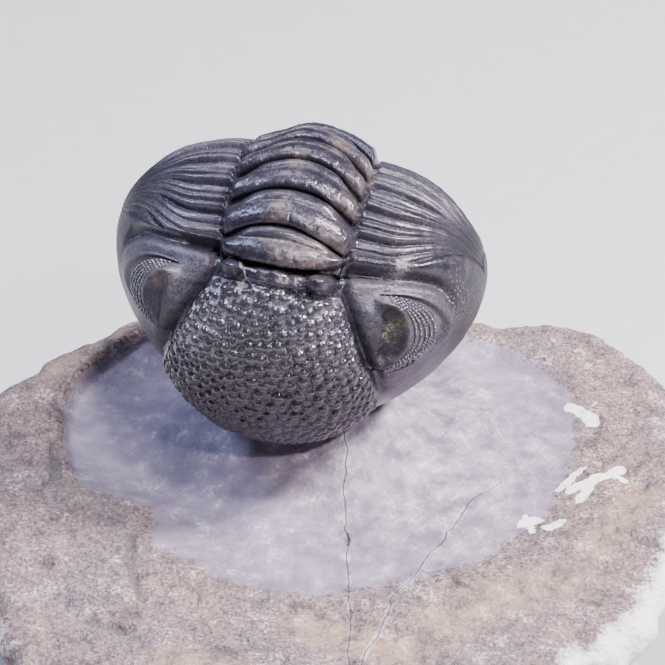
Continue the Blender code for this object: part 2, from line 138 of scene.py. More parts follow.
# Eyes: polar outlines (direction, reach) about a middle at the foot of the lobe above the lenses
EYE_MID = 16.5
EYE_FOOT = 10.75
EYE_ARC = 0.26
EYE_RISE = 1.25
EYE_DISH = 0.8
EYE_ROUGHNESS = 0.24
EYE_OUTER_RIM = ((0, 5.4), (20, 5.7), (32, 5.9), (47, 5.8), (71, 5.5), (100, 5.6), (130, 6.5),
                 (145, 6.3), (158, 5.8), (173, 5.4))
EYE_UPPER_RIM = ((0, 4.9), (19, 4.6), (38, 3.45), (74, 2.6), (117, 2.5), (140, 2.7),
                 (163, 3.3), (178, 3.6))
LENS_PITCH = 0.46
LENS_RADIUS = 0.21
LENS_ROWS = 5
LENS_MARGIN = 0.08
LENS_SIDES = 10
LENS_TILTS = (-25.0, 5.0, 35.0, 62.0)
LENS_FULLNESS = 0.85

# Damage and deposits on the shell, as (coil angle, sideways place) and widths
SHELL_CRACKS = (((53.9, 11.44), (61.6, 10.71), (71.5, 10.86), (81.4, 10.85), (92.6, 10.49), (100.4, 10.0)),
                ((58.8, 12.65), (69.5, 13.56), (81.4, 13.31), (95.6, 12.14), (107.4, 11.22)),
                ((1.8, 17.44), (10.8, 16.85), (17.7, 16.49), (24.5, 16.06)))
RUBBLE = ((38.0, 10.9), (43.0, 11.2), (49.0, 11.7), (56.0, 12.2))
NECK_PIT = ((51.0, -8.3), (47.7, -6.9), (47.5, -10.3))
BROWN_PATCHES = ((48.5, 3.4, 2.3), (46.8, 0.6, 1.6), (52.5, 5.4, 1.3), (57.5, 4.4, 1.3), (70.5, 5.2, 1.5),
                 (84.0, 5.5, 1.5), (96.0, 6.2, 1.4), (86.0, -0.6, 1.5), (101.0, 3.0, 1.8),
                 (30.0, -12.2, 1.7), (62.0, -1.2, 1.3))
DEPOSIT = ((27.0, 12.4), (24.0, 11.9), (20.0, 11.5))

# Skin of the shell
SKIN_LUMPS = 0.07
SKIN_RIPPLES = 0.02

# Tubercles of the glabella
WART_LARGE = 0.53
WART_SMALL = 0.34
WART_ROUNDS = (1.0, 0.85, 0.7, 0.55)
WART_TRIES = 3000
WART_SPACING = 0.86
WART_SPREAD = 1.1

# Fineness of the shell's grid
GLABELLA_COLUMNS = 250
RING_COLUMNS = 40
HIDDEN_RING_COLUMNS = 24
SEEN_RINGS = 6
LOBE_ROWS = 96
FURROW_ROWS = 8
CHEEK_ROWS = 48
GENAL_ROWS = 22
FURROW_WIDTH = 1.2
HEAD_SIDE_START = 70.0

# Rock slab
SLAB_TOP = 18.0
SLAB_BASE_SHARE = 0.79
SLAB_OUTLINE = ((37.5, 10.0), (36.6, 19.5), (34.4, 24.5), (30.2, 28.8), (26.5, 31.6),
                (18.0, 32.3), (5.0, 32.6), (-8.0, 32.2), (-20.5, 30.8), (-25.5, 27.4),
                (-31.0, 23.4), (-35.5, 17.9), (-37.3, 8.0), (-36.4, -4.0), (-33.2, -14.6),
                (-29.2, -27.5), (-20.0, -32.4), (-5.0, -33.6), (10.0, -32.8),
                (23.0, -27.5), (29.5, -22.5), (33.0, -17.0), (35.4, -8.4), (37.4, 1.0))
RIM_BEVEL = 1.2
BROKEN_RIM_BEVEL = 2.6
BROKEN_RIM = (-62.0, -42.0, -19.0, 0.0)
BACK_RIM_RISE = 1.4
BACK_RIM_AZIMUTH = 122.0
OUTER_GRAIN = 0.12
PREPARED_GRAIN = 0.04
CHIP_DEPTH = 0.4
LEDGE_HEIGHT = 0.3
BROAD_RELIEF = 0.2
RAYS = 640
TOP_RINGS = 128
SIDE_RINGS = 22
BASE_RINGS = 4
SIDE_HEIGHTS = ((0.0, 1.0), (0.1, 0.93), (0.2, 0.865), (0.5, 0.55), (0.78, 0.22), (1.0, 0.0))
SIDE_SHARES = ((0.0, 1.0), (0.1, 1.012), (0.2, 1.02), (0.5, 0.98), (0.78, 0.9), (1.0, 0.79))

# Prepared hollow and pedestal
PEDESTAL_FOOT = (-3.2, 14.5)
PEDESTAL_RISE = 8.0
PEDESTAL_NECK = 5.0
PEDESTAL_REACH = 18.0
HOLLOW_CENTRE = (-1.0, 9.0)
HOLLOW_STATIONS = (-180, -165, -150, -135, -118, -100, -90, -70, -45, -20, 0, 20, 45, 90,
                   135, 160, 180)
HOLLOW_RADII = (27.0, 26.0, 20.0, 24.0, 24.5, 25.0, 25.5, 24.5, 26.0, 27.0, 28.0, 30.0,
                28.0, 24.0, 28.0, 29.0, 27.0)
HOLLOW_DEPTHS = ((-180, 1.4), (-165, 1.0), (-150, 0.55), (-125, 0.5), (-60, 0.4), (0, 0.4), (60, 0.8),
                 (140, 1.4), (180, 1.4))

# Marks of the rock, as (x, y) on its upper face
HAIRLINE = ((1.8, 10.4), (1.9, 1.7), (2.1, -6.5), (2.2, -16.6), (2.3, -26.7), (2.5, -33.0))
SLANTED_CRACK = ((18.2, 3.7), (15.0, -0.1), (11.7, -6.8), (9.0, -12.6), (6.6, -15.8), (6.2, -18.2),
                 (4.8, -22.9), (3.3, -26.7), (2.6, -31.0))
CALCITE = (((26.3, 16.6), (28.8, 13.9), 0.7), ((27.0, 5.0), (24.4, 1.6), 0.45),
           ((25.5, 1.1), (30.9, 4.6), 0.6), ((28.2, 2.9), (26.4, -0.6), 0.55),
           ((30.0, 4.4), (31.4, 2.6), 0.35), ((20.5, -4.0), (21.6, -3.5), 0.8),
           ((22.9, -5.2), (24.2, -4.0), 0.6), ((21.2, -5.8), (20.6, -2.6), 0.3))
# Dark marks dented into the stone; the one near x = -28.7 is the painted shadow under the hollow's left
# step.
DARK_MARKS_AND_LEDGE_SHADOW = (((-20.1, -6.5), (-20.3, -10.6), 0.5), ((-20.3, -10.6), (-18.7, -17.1), 0.45),
              ((-24.2, -19.5), (-20.6, -21.9), 0.5), ((-12.1, -24.7), (-5.6, -24.7), 0.35),
              ((13.0, -14.7), (15.0, -15.8), 0.3), ((25.0, -17.1), (27.5, -17.6), 0.3),
              ((-28.6, 3.5), (-28.9, 9.5), 0.6), ((2.0, -5.9), (2.1, -7.2), 0.25))
# Painted shade along the hollow's lower left edge.
SHADY_BAND = ((-27.5, 1.5), (-24.0, -2.2), (-20.0, -5.0), (-19.0, -9.0))
OCHRE_BANDS = (((-2.0, -21.0), (8.0, -25.0), 2.2), ((12.0, -20.0), (24.0, -14.0), 2.6),
               ((-16.0, -27.0), (-6.0, -30.0), 1.8), ((-31.0, 22.0), (-24.0, 29.0), 1.4),
               ((28.0, -8.0), (33.0, 0.0), 1.8))
DISH = (20.2, 25.5)
DISH_REACH = 5.0
DISH_DEPTH = 0.5
MARK_DENT = 0.35
CALCITE_RISE = 0.04
# Spot on the pedestal's right flank with denser tool strokes and paler clouds; the paler clouds are a
# painted pool of light.
SCRAPED_AND_PAINTED_LIGHT_SPOT = (11.0, 7.0)
SCRAPED_AND_PAINTED_LIGHT_REACH = 15.0

# Colours of the shell and the rock; a tone is a place along a pattern and its colour
SHELL_TONES = ((0.3, (0.009, 0.0085, 0.015)), (0.5, (0.017, 0.0155, 0.024)), (0.72, (0.032, 0.028, 0.037)))
SHELL = {"worn": (0.06, 0.053, 0.067), "powder_and_painted_light": (0.11, 0.1, 0.128), "pits": (0.006, 0.006, 0.008),
         "hollows": (0.005, 0.005, 0.009), "stain": (0.17, 0.13, 0.115), "deposit": (0.085, 0.075, 0.04),
         "dust": (0.36, 0.33, 0.4), "specks": (0.5, 0.48, 0.52), "granules": (0.2, 0.185, 0.225),
         "crack": (0.01, 0.009, 0.01)}
ROCK_TONES = ((0.32, (0.075, 0.056, 0.058)), (0.45, (0.175, 0.136, 0.14)), (0.57, (0.26, 0.206, 0.208)),
              (0.7, (0.46, 0.39, 0.39)))
ROCK_PATCHES = ((0.34, (0.5, 0.46, 0.48)), (0.45, (0.88, 0.83, 0.83)), (0.56, (1.05, 0.98, 0.95)),
                (0.68, (1.3, 1.2, 1.15)))
ROCK_TINTS = ((0.34, (0.8, 0.8, 0.86)), (0.5, (1.0, 0.96, 0.95)), (0.66, (1.08, 0.96, 0.88)))
PREPARED_TONES = ((0.3, (0.15, 0.119, 0.172)), (0.5, (0.21, 0.167, 0.232)), (0.7, (0.275, 0.225, 0.298)))
ROCK = {"pits": (0.1, 0.08, 0.07), "flecks": (0.4, 0.26, 0.18), "ochre": (0.36, 0.245, 0.16),
        "clouds": (0.43, 0.365, 0.455), "shade": (0.13, 0.115, 0.16), "scratches": (0.68, 0.62, 0.7),
        "broken": (0.88, 0.85, 0.85), "calcite": (0.9, 0.87, 0.87), "dark marks": (0.075, 0.075, 0.065),
        "crack edges": (0.62, 0.57, 0.64), "crack": (0.04, 0.035, 0.04), "specks": (0.8, 0.78, 0.8)}
FLOOR_TONES = ((0.3, (0.49, 0.483, 0.477)), (0.7, (0.52, 0.513, 0.507)))

# Patterns: how many to a metre, pores and specks by the grain's own scale, and depths in metres
SHELL_GRAIN = 1500.0
SHELL_FINE = 4200.0
SHELL_GRANULES = 2300.0
ROCK_GRAIN = 620.0
ROCK_FINE = 2600.0
FLOOR_GRAIN = 300.0
PORE_SCALE = 3.1
SPECK_SCALE = 5.3
SCRATCHES = ((58.0, 4200.0), (-35.0, 3400.0), (16.0, 3800.0))
SHELL_PIT_DEPTH = 0.00012
SHELL_GRIT_DEPTH = 0.0001
ROCK_GRIT_DEPTH = 0.00022

# Camera and stage, in metres; a light is its name, place, size, power and colour
PIXEL = 0.105 * MM
FRAME_MIDDLE = 332.5
HUB_PIXEL = (303.1, 249.4)
ELEVATION = 35.0
CAMERA_DISTANCE = 0.4
SENSOR_WIDTH = 36.0
LIGHT_AIM = (0.0, 0.01, 0.03)
LIGHTS = (("key light", (0.22, 0.02, 0.27), 0.06, 3.5, (1.0, 0.93, 0.97)),
          ("high light", (0.05, -0.1, 0.47), 0.04, 2.0, (1.0, 0.95, 1.0)),
          ("front light", (0.15, -0.34, 0.42), 0.03, 1.8, (1.0, 0.96, 1.0)),
          ("fill light", (-0.3, 0.1, 0.35), 0.12, 1.9, (0.56, 0.68, 1.0)),
          ("back light", (-0.05, 0.22, 0.42), 0.2, 1.2, (0.85, 0.85, 1.0)))
ROOM_COLOUR = (0.85, 0.86, 0.95, 1.0)
ROOM_STRENGTH = 0.075
FLOOR_HALF = 1.5


# Small functions of numbers

def smooth(value, low, high):
    """Rises from 0 at low to 1 at high."""
    t = np.clip((value - low) / (high - low), 0, 1)
    return t * t * (3 - 2 * t)


def fall(value, low, high):
    """Falls from 1 at low to 0 at high."""
    return 1 - smooth(value, low, high)


def bell(value, centre, width):
    """1 at the centre, and next to nothing at twice the width from it."""
    return np.exp(-((value - centre) / width) ** 2)


def stations(value, pairs):
    """Reads a table of (place, value) pairs."""
    return np.interp(value, [p[0] for p in pairs], [p[1] for p in pairs])


def lattice(points, size, seed):
    """Smooth noise from -1 to 1 over points, with features of the given size."""
    cell = points / size
    low = np.floor(cell).astype(np.int64)
    part = cell - low
    part = part * part * (3 - 2 * part)
    total = np.zeros(points.shape[:-1])
    for corner in range(8):
        step = np.array([corner & 1, corner >> 1 & 1, corner >> 2 & 1])
        at = low + step
        mixed = at[..., 0] * 73856093 ^ at[..., 1] * 19349663 ^ at[..., 2] * 83492791 ^ seed * 4241
        mixed = (mixed ^ mixed >> 13) * 1274126177 & 0x7FFFFFFF
        value = ((mixed ^ mixed >> 16) & 0xFFFF) / 32767.5 - 1
        total += value * np.prod(np.where(step, part, 1 - part), axis=-1)
    return total


def fractal(points, size, seed, layers=3, gain=0.5):
    """Layers of the smooth noise, each half as large and weaker."""
    total = 0
    for layer in range(layers):
        total = total + gain ** layer * lattice(points, size * 0.5 ** layer, seed + layer)
    return total


def line_distance(points, line):
    """Distance of points from a line of points, in two or three dimensions."""
    line = np.asarray(line, float)
    best = np.full(points.shape[:-1], 99.0)
    low = line.min(0) - 4
    high = line.max(0) + 4
    near = np.all((points > low) & (points < high), axis=-1)
    inside = points[near]
    found = best[near]
    for start, end in zip(line[:-1], line[1:]):
        along = end - start
        share = np.clip((inside - start) @ along / (along @ along), 0, 1)
        found = np.minimum(found, np.linalg.norm(inside - start - share[:, None] * along, axis=-1))
    best[near] = found
    return best


# Smooth form of the coil

def sagittal_radius(theta):
    """Distance from the hub line to the coil's circle, theta measured from straight ahead."""
    c = np.cos(np.radians(theta))
    s = np.sin(np.radians(theta))
    along = COIL_FORWARD * c - COIL_DROP * s
    reach = COIL_FORWARD ** 2 + COIL_DROP ** 2
    return along + np.sqrt(along ** 2 - reach + COIL_RADIUS ** 2)


def hub_direction(beta):
    """Direction from the hub line for an angle round the coil's own centre."""
    ahead = COIL_FORWARD + COIL_RADIUS * np.cos(np.radians(beta))
    above = COIL_RADIUS * np.sin(np.radians(beta)) - COIL_DROP
    return np.degrees(np.arctan2(above, ahead))


def form_radius(theta, alpha):
    """Distance from the hub's middle to the smooth form; alpha is 90 at the cheeks."""
    weights = 0
    total = 0
    for centre, value in SQUARENESS:
        away = (theta - centre + 180) % 360 - 180
        weight = bell(away, 0, SQUARENESS_REACH)
        weights = weights + weight
        total = total + weight * value
    a = np.radians(alpha)
    across = (np.cos(a) / sagittal_radius(theta)) ** 2 + (np.sin(a) / HALF_WIDTH) ** 2
    return (1 + total / weights * np.sin(2 * a) ** 2) / np.sqrt(across)


def form_point(theta, alpha):
    r = form_radius(theta, alpha)
    a = np.radians(alpha)
    t = np.radians(theta)
    return np.stack([r * np.sin(a), -r * np.cos(a) * np.cos(t), r * np.cos(a) * np.sin(t)], -1)


def form_directions(theta, alpha):
    """Outward normal of the form and its direction backwards round the coil."""
    step = 0.05
    inner = np.clip(alpha, -89.8, 89.8)
    round_coil = form_point(theta + step, inner) - form_point(theta - step, inner)
    across = form_point(theta, inner + step) - form_point(theta, inner - step)
    normal = np.cross(round_coil, across)
    normal /= np.linalg.norm(normal, axis=-1, keepdims=True)
    outward = np.sum(normal * form_point(theta, inner), axis=-1, keepdims=True)
    round_coil /= np.linalg.norm(round_coil, axis=-1, keepdims=True)
    return normal * np.sign(outward), round_coil


ALPHA_TABLE = np.linspace(0, 89, 600)


def alpha_at(theta, x):
    """Angles across the form at which it is x wide, for one direction theta."""
    widths = form_radius(theta, ALPHA_TABLE) * np.sin(np.radians(ALPHA_TABLE))
    return np.sign(x) * np.interp(np.abs(x), widths, ALPHA_TABLE)


def on_form(marks):
    """Points on the smooth form for marks given as (coil angle, sideways place)."""
    places = []
    for beta, x in marks:
        theta = hub_direction(beta)
        places.append(form_point(theta, alpha_at(theta, x)))
    return np.array(places)


def spots(beta, theta, alpha):
    """Everything that the relief reads about places on the shell."""
    s = SimpleNamespace(beta=beta, theta=theta, alpha=alpha)
    s.radius = form_radius(theta, alpha)
    s.x = s.radius * np.sin(np.radians(alpha))
    s.wide = np.abs(s.x)
    s.form = form_point(theta, alpha)
    s.width = np.interp(beta, LOBE_STATIONS, LOBE_HALF_WIDTHS)
    s.beside = s.wide - s.width
    ahead = (beta - GLABELLA_WIDEST) / (GLABELLA_FRONT - GLABELLA_WIDEST)
    front = np.hypot(s.x / GLABELLA_HALF_WIDTH, ahead)
    s.lobe = np.where(beta < GLABELLA_WIDEST, front, s.wide / s.width)
    return s


# Relief of the middle lobe

def middle_lobe(s):
    """The lobe is full on the glabella and a higher, rounder arch over the rings."""
    place = np.clip(s.lobe, 0, 1)
    arched = smooth(s.beta, GLABELLA_BACK, FIRST_RING)
    full = GLABELLA_RISE * (1 - place ** 2.4) ** 0.7
    arch = LOBE_RISE * (1 - 0.8 * place ** 2 - 0.2 * smooth(place, 0.86, 1))
    left = smooth(-s.x / s.width, 0.15, 0.8) * smooth(s.beta, 84, 112) * (place < 1)
    arch = arch - LEFT_RINGS_DROP * left
    fade = 1 - 0.6 * smooth(s.beta, TAIL_START, TAIL_TIP)
    fade = fade - 0.4 * smooth(s.beta, TAIL_TIP - 4, TAIL_TIP + 3)
    return fade * (full * (1 - arched) + np.maximum(arch, 0) * arched)


def ring_count(beta):
    """Number of ring fronts passed, with parts between; negative on the neck ring."""
    beyond = np.minimum(beta - FIRST_RING, 0) + np.maximum(beta - TAIL_START, 0)
    return np.interp(beta, RING_FRONTS, range(len(RING_FRONTS))) + beyond / RING_PITCH


def ring_phase(s):
    """Place of each spot within its ring, from 0 at the gap before it to 1 at the next gap."""
    out = np.clip(s.lobe, 0, 1.1)
    past = np.clip(out - RING_HOOK, 0, 1) / (1 - RING_HOOK)
    bow = stations(s.beta, RING_BOWS) * (1 + 0.12 * np.sign(s.x))
    hook = bow * np.where(out < RING_HOOK, (out / RING_HOOK) ** 2, 1 - 0.5 * past ** 2)
    sway = 0.04 * lattice(s.form, 3, 5)
    count = ring_count(s.beta) + hook + sway
    reach = NECK_RING_BOW * (1 + 0.25 * np.sign(s.x)) * RING_PITCH
    neck_front = OCCIPITAL_FURROW + reach * np.clip(out, 0, 1) ** 2.5
    neck_back = FIRST_RING - (hook + sway) * RING_PITCH
    neck = np.clip((s.beta - neck_front) / (neck_back - neck_front), 0, 1)
    return np.where(count < 0, neck, count - np.floor(count)), out


def rounded(value, pairs, blur=0.012):
    """Reads a table of pairs with its corners rounded off."""
    return sum(stations(value + step * blur, pairs) for step in (-1, -0.5, 0, 0.5, 1)) / 5


def ring_relief(s):
    """Rings of the neck, the back and the tail: an overhanging lip, a round back and a half ring."""
    phase, out = ring_phase(s)
    lens = fall(out, 0.5, 0.82)
    behind = rounded(phase, HALF_RING_HEIGHTS)
    middle = np.where(phase < 0.57, rounded(phase, RING_HEIGHTS), behind)
    body = middle * lens + rounded(phase, RING_END_HEIGHTS) * (1 - lens)
    seen = fall(s.beta, 104, 122)
    body = body + RING_SWELL * seen * bell(out, 0.84, 0.14) * bell(phase, 0.34, 0.22)
    body = body - 0.14 * bell(out, 0.55, 0.12) * bell(phase, 0.2, 0.18)
    tail_count = (s.beta - TAIL_START) / TAIL_PITCH
    tail_fade = 1 - 0.75 * smooth(tail_count, 0, TAIL_RINGS)
    tail = -TAIL_GAP_DEPTH * tail_fade * np.abs(np.cos(np.pi * tail_count)) ** 6
    on_back = s.beta < TAIL_START
    relief = np.where(on_back, body, tail)
    held = fall(s.lobe, 0.9, 1.03)
    held = held * smooth(s.beta, OCCIPITAL_FURROW - 1, OCCIPITAL_FURROW + 0.5)
    s.gap = held * (bell(phase, 0, 0.05) + bell(phase, 1, 0.05)) * on_back
    s.hem = held * bell(phase, 0.565, 0.02) * lens * on_back
    s.ring = held * on_back * smooth(phase, 0.04, 0.1) * fall(phase, 0.5, 0.58)
    arc = RING_PITCH * np.radians(COIL_RADIUS + LOBE_RISE)
    s.lean = rounded(phase, RING_LEANS) * arc * held * on_back * fall(out, 0.86, 1)
    pits = RING_PIT_DEPTH * smooth(lattice(s.form, 0.3, 23), 0.25, 0.6) * s.ring
    return (relief - pits) * held * (s.beta < TAIL_TIP)


def wart_places():
    """Seeded tubercles over the glabella: places on the form, radii and heights."""
    places = np.zeros((0, 3))
    radii = np.zeros(0)
    heights = np.zeros(0)
    for share in WART_ROUNDS:
        beta = rng.uniform(GLABELLA_FRONT, GLABELLA_BACK - 1, WART_TRIES)
        across = rng.uniform(-1, 1, WART_TRIES)
        luck = rng.uniform(0, 1, WART_TRIES)
        for b, a, chance in zip(beta, across, luck):
            width = float(np.interp(b, LOBE_STATIONS, LOBE_HALF_WIDTHS))
            x = a * width
            ahead = max(0, (b - GLABELLA_WIDEST) / (GLABELLA_FRONT - GLABELLA_WIDEST))
            edge = math.hypot(x / GLABELLA_HALF_WIDTH, ahead) if ahead > 0 else abs(a)
            if edge > 0.97:
                continue
            full = float(smooth(b, -50, -12)) * (1 - 0.55 * float(smooth(abs(a), 0.45, 1)))
            size = (WART_SMALL + (WART_LARGE - WART_SMALL) * full) * (0.84 + 0.32 * chance) * share
            theta = hub_direction(b)
            spot = form_point(theta, alpha_at(theta, x))
            apart = np.linalg.norm(places - spot, axis=-1)
            if len(radii) and np.any(apart < (radii + size) * WART_SPACING):
                continue
            places = np.vstack([places, spot])
            radii = np.append(radii, size)
            worn = 1 - 0.4 * float(smooth(b, 16, 32))
            heights = np.append(heights, size * (0.72 + 0.2 * luck[len(radii) % len(luck)]) * worn)
    return places, radii, heights


def wart_relief(s, warts):
    """Rounded domes standing close together on the glabella."""
    places, radii, heights = warts
    relief = np.zeros(s.beta.shape)
    on = (s.beta < GLABELLA_BACK + 1) & (s.lobe < 1.05)
    points = s.form[on]
    wobble = 1 + 0.16 * lattice(points, 0.7, 11)
    found = np.zeros(len(points))
    nearest = np.zeros(len(points))
    for start in range(0, len(points), 4000):
        part = slice(start, start + 4000)
        apart = np.linalg.norm(points[part, None] - places[None], axis=-1)
        inside = np.clip(1 - (apart * wobble[part, None] / (radii * WART_SPREAD)) ** 2, 0, 1)
        found[part] = np.max(heights * inside ** 0.65, axis=1)
        nearest[part] = np.max(inside, axis=1)
    relief[on] = found
    relief = relief * fall(s.lobe, 0.93, 1)
    s.valley = np.zeros(s.beta.shape)
    s.valley[on] = fall(nearest, 0.05, 0.32)
    s.valley = s.valley * fall(s.lobe, 0.97, 1.02)
    return relief


# Relief of the sides

def rib_relief(s):
    """Rounded ribs between grooves of several strengths, running from the rings towards the hub."""
    near = 0.5 * smooth(s.wide, 10, 17.5) * bell(s.beta, RIB_MEETING, 55)
    beta = s.beta + (s.beta - RIB_MEETING) * near / (1 - near)
    count = ring_count(beta - 2) + 0.06 * lattice(s.form, 5, 15)
    phase = (count - RIB_GROOVES[0][0]) % 1 + RIB_GROOVES[0][0]
    edges = [groove[0] for groove in RIB_GROOVES] + [1 + RIB_GROOVES[0][0]]
    place = np.interp(phase, edges, range(len(edges))) % 1
    body = RIB_RISE * (0.4 - np.abs(2 * place - 1) ** 2)
    body = body + RIB_BULGE * np.cos(2 * np.pi * (phase - 0.5))
    s.groove = np.zeros(s.beta.shape)
    for number, (middle, depth, width) in enumerate(RIB_GROOVES):
        uneven = np.clip(1 + 0.7 * lattice(s.form, 4, 80 + number), 0.4, 1.6)
        cut = bell(phase, middle, width) + bell(phase, middle + 1, width)
        body = body - depth * uneven * cut
        s.groove = s.groove + cut * depth * uneven * 1.6
    tail_count = (s.beta - TAIL_START) / TAIL_PITCH
    tail_fade = fall(tail_count, TAIL_RINGS - 3, TAIL_RINGS)
    tail = -TAIL_RIB_DEPTH * np.abs(np.cos(np.pi * tail_count)) ** 4 * tail_fade
    beside = smooth(s.beside, -0.9, -0.1)
    fading = 10 * smooth(s.beta, 85, 125)
    reach = 1 - 0.8 * smooth(np.abs(s.alpha) - fading, 47, 62)
    reach = reach - 0.2 * smooth(np.abs(s.alpha), 66, 82)
    s.groove = s.groove * smooth(s.beside, -0.1, 0.5) * reach * (s.beta < TAIL_START)
    return np.where(s.beta < TAIL_START, body, tail) * beside * reach


def head_inset(s):
    """Distance inside the edge of the head shield, negative on the back and tail."""
    ring = s.radius * np.cos(np.radians(s.alpha))
    turned = (s.theta - HEAD_FRONT) % 360 + HEAD_FRONT
    out = np.abs(s.alpha)
    back = np.where(s.alpha > 0, stations(out, HEAD_BACK_RIGHT), stations(out, HEAD_BACK_LEFT))
    front = np.where(turned > 180, turned - 360 - HEAD_FRONT_UNDER, turned - HEAD_FRONT_UNDER)
    front = np.where(out < 35, turned - HEAD_FRONT, np.where(turned > 180, front, 90))
    along = np.where(turned > 180, np.where(out < 35, back - turned, front),
                     np.minimum(back - turned, front)) * np.radians(ring)
    across = (out - stations(turned, HEAD_SIDE)) * np.radians(s.radius)
    return np.maximum(along, across)


def angle_line(s, points):
    """Distance over the surface to a line of (alpha, theta) points on either side."""
    ring = s.radius * np.cos(np.radians(s.alpha))
    best = np.full(s.alpha.shape, 99.0)
    for (a0, t0), (a1, t1) in zip(points[:-1], points[1:]):
        ax = (np.abs(s.alpha) - a0) * np.radians(s.radius)
        ay = (s.theta - t0) * np.radians(ring)
        bx = (a1 - a0) * np.radians(s.radius)
        by = (t1 - t0) * np.radians(ring)
        share = np.clip((ax * bx + ay * by) / (bx * bx + by * by), 0, 1)
        best = np.minimum(best, np.hypot(ax - share * bx, ay - share * by))
    return best


def eye_outline(direction, right):
    """Reach of the eye's upper and outer rims in a direction from its middle."""
    outer = rounded(direction, EYE_OUTER_RIM, 14)
    upper = rounded(direction, EYE_UPPER_RIM, 14)
    return np.where(right, upper, upper * 0.88), np.where(right, outer, outer * 0.9)


def eye_place(s):
    """Share of the way from the eye's upper rim, 0, to its outer rim, 1, and depth inside that rim."""
    along = (s.beta - EYE_MID) * EYE_ARC
    out = s.wide - EYE_FOOT
    direction = np.degrees(np.arctan2(out, along)) % 360
    direction = np.where(direction > 270, 0, np.minimum(direction, 178))
    reach = np.hypot(along, out)
    upper, outer = eye_outline(direction, s.x > 0)
    place = np.where(s.beta < 60, (reach - upper) / (outer - upper), 9)
    return place, np.where(s.beta < 60, upper - reach, -9), out


def eye_relief(s):
    """Raised lobe with a steep band of lenses round its outer side and a groove below."""
    place, inside, out = eye_place(s)
    band = np.clip(place, 0, 1)
    left = s.x < 0
    lobe = EYE_RISE * (1 - band ** 1.35) ** 0.9
    rim = (0.2 + 0.2 * left) * bell(inside, 0.25, 0.35) * (place < 0.5)
    rim = rim - 0.1 * bell(place, 0.03, 0.03) * (1 - 0.6 * left)
    dish = -EYE_DISH * (1 - 0.65 * left) * smooth(inside, 0.2, 1.8)
    socle = -0.3 * bell(place, 1.12, 0.1) + 0.12 * bell(place, 1.3, 0.12)
    along = np.abs(s.beta - EYE_MID) / 20.5
    beyond = fall(place, 1.3, 2.2)
    on = smooth(out, -0.9, 0.3)
    ridge = (0.35 + 0.3 * left) * bell(out, -0.2, 0.45) * fall(along, 0.6, 1)
    cheek = CHEEK_RISE * smooth(out, -3.2, -0.6) * fall(along, 0.5, 1.15) * (1 - on)
    eye = (lobe * (place < 1) + rim + dish + socle * (place > 0.8) * beyond) * on
    s.eye = smooth(place, 0, 0.04) * fall(place, 0.96, 1.02) * (out > 0.2)
    s.palpebral = smooth(inside, -0.1, 0.5) * on
    rough = EYE_ROUGHNESS * fractal(s.form, 1.1, 27, 3) * s.palpebral * (1 - 0.6 * left)
    return eye + ridge + cheek + rough


def head_relief(s):
    """Furrows, neck lumps, border, rubble, front rim and eyes of the head."""
    on_head = s.beta < OCCIPITAL_FURROW + 2
    groove = -AXIAL_FURROW_DEPTH * bell(s.beside, 0.4, 0.6) * smooth(s.beta, -32, -12)
    neck = -OCCIPITAL_FURROW_DEPTH * bell(s.beta, OCCIPITAL_FURROW - 0.4, 1.5)
    neck = neck - PREOCCIPITAL_DEPTH * bell(s.beta, GLABELLA_BACK + 0.6, 1.3)
    neck = neck - PREOCCIPITAL_DEPTH * bell(s.beta, PREOCCIPITAL_MID, 3.2)
    neck = neck * fall(s.lobe, 0.85, 1.05)
    lumps = np.zeros(s.beta.shape)
    for beta, x, reach, rise in NECK_LUMPS:
        away = np.hypot((s.beta - beta) * 0.31, s.x - x) / reach * (1 + 0.15 * lattice(s.form, 1.3, 93))
        lumps = lumps + (rise * np.clip(1 - away ** 2, 0, 1) ** 0.85) ** 3
    neck = neck + np.cbrt(lumps)
    pit = line_distance(s.form, on_form(NECK_PIT))
    furrow = angle_line(s, BORDER_FURROW)
    ridge = angle_line(s, BORDER_RIDGE)
    outside = smooth(s.beside, -0.3, 0.6)
    reach = fall(np.abs(s.alpha), 58, 65)
    border = BORDER_RIDGE_RISE * bell(ridge, 0, 1.1)
    deep = BORDER_FURROW_DEPTH * (1 + 0.6 * fall(s.wide, 7, 11))
    border = border - deep * bell(furrow, 0, 0.65) * reach
    s.furrow = bell(furrow, 0, 0.5) * reach * outside
    rim = RIM_ROLL * (bell(s.beta, FRONT_RIM + 1, 1.8) - bell(s.beta, FRONT_RIM + 4.5, 1.5))
    rim = rim * smooth(s.lobe, 0.9, 1.1) * fall(np.abs(s.alpha), 25, 40)
    s.rubble = bell(line_distance(s.form, on_form(RUBBLE)), 0, 0.8)
    broken = s.rubble * (0.3 * lattice(s.form, 0.5, 91) + 0.15 * lattice(s.form, 0.22, 92))
    broken = broken - NECK_PIT_DEPTH * bell(pit, 0, 0.6)
    return (groove + neck) * on_head + (border + broken) * outside + rim + eye_relief(s) * outside


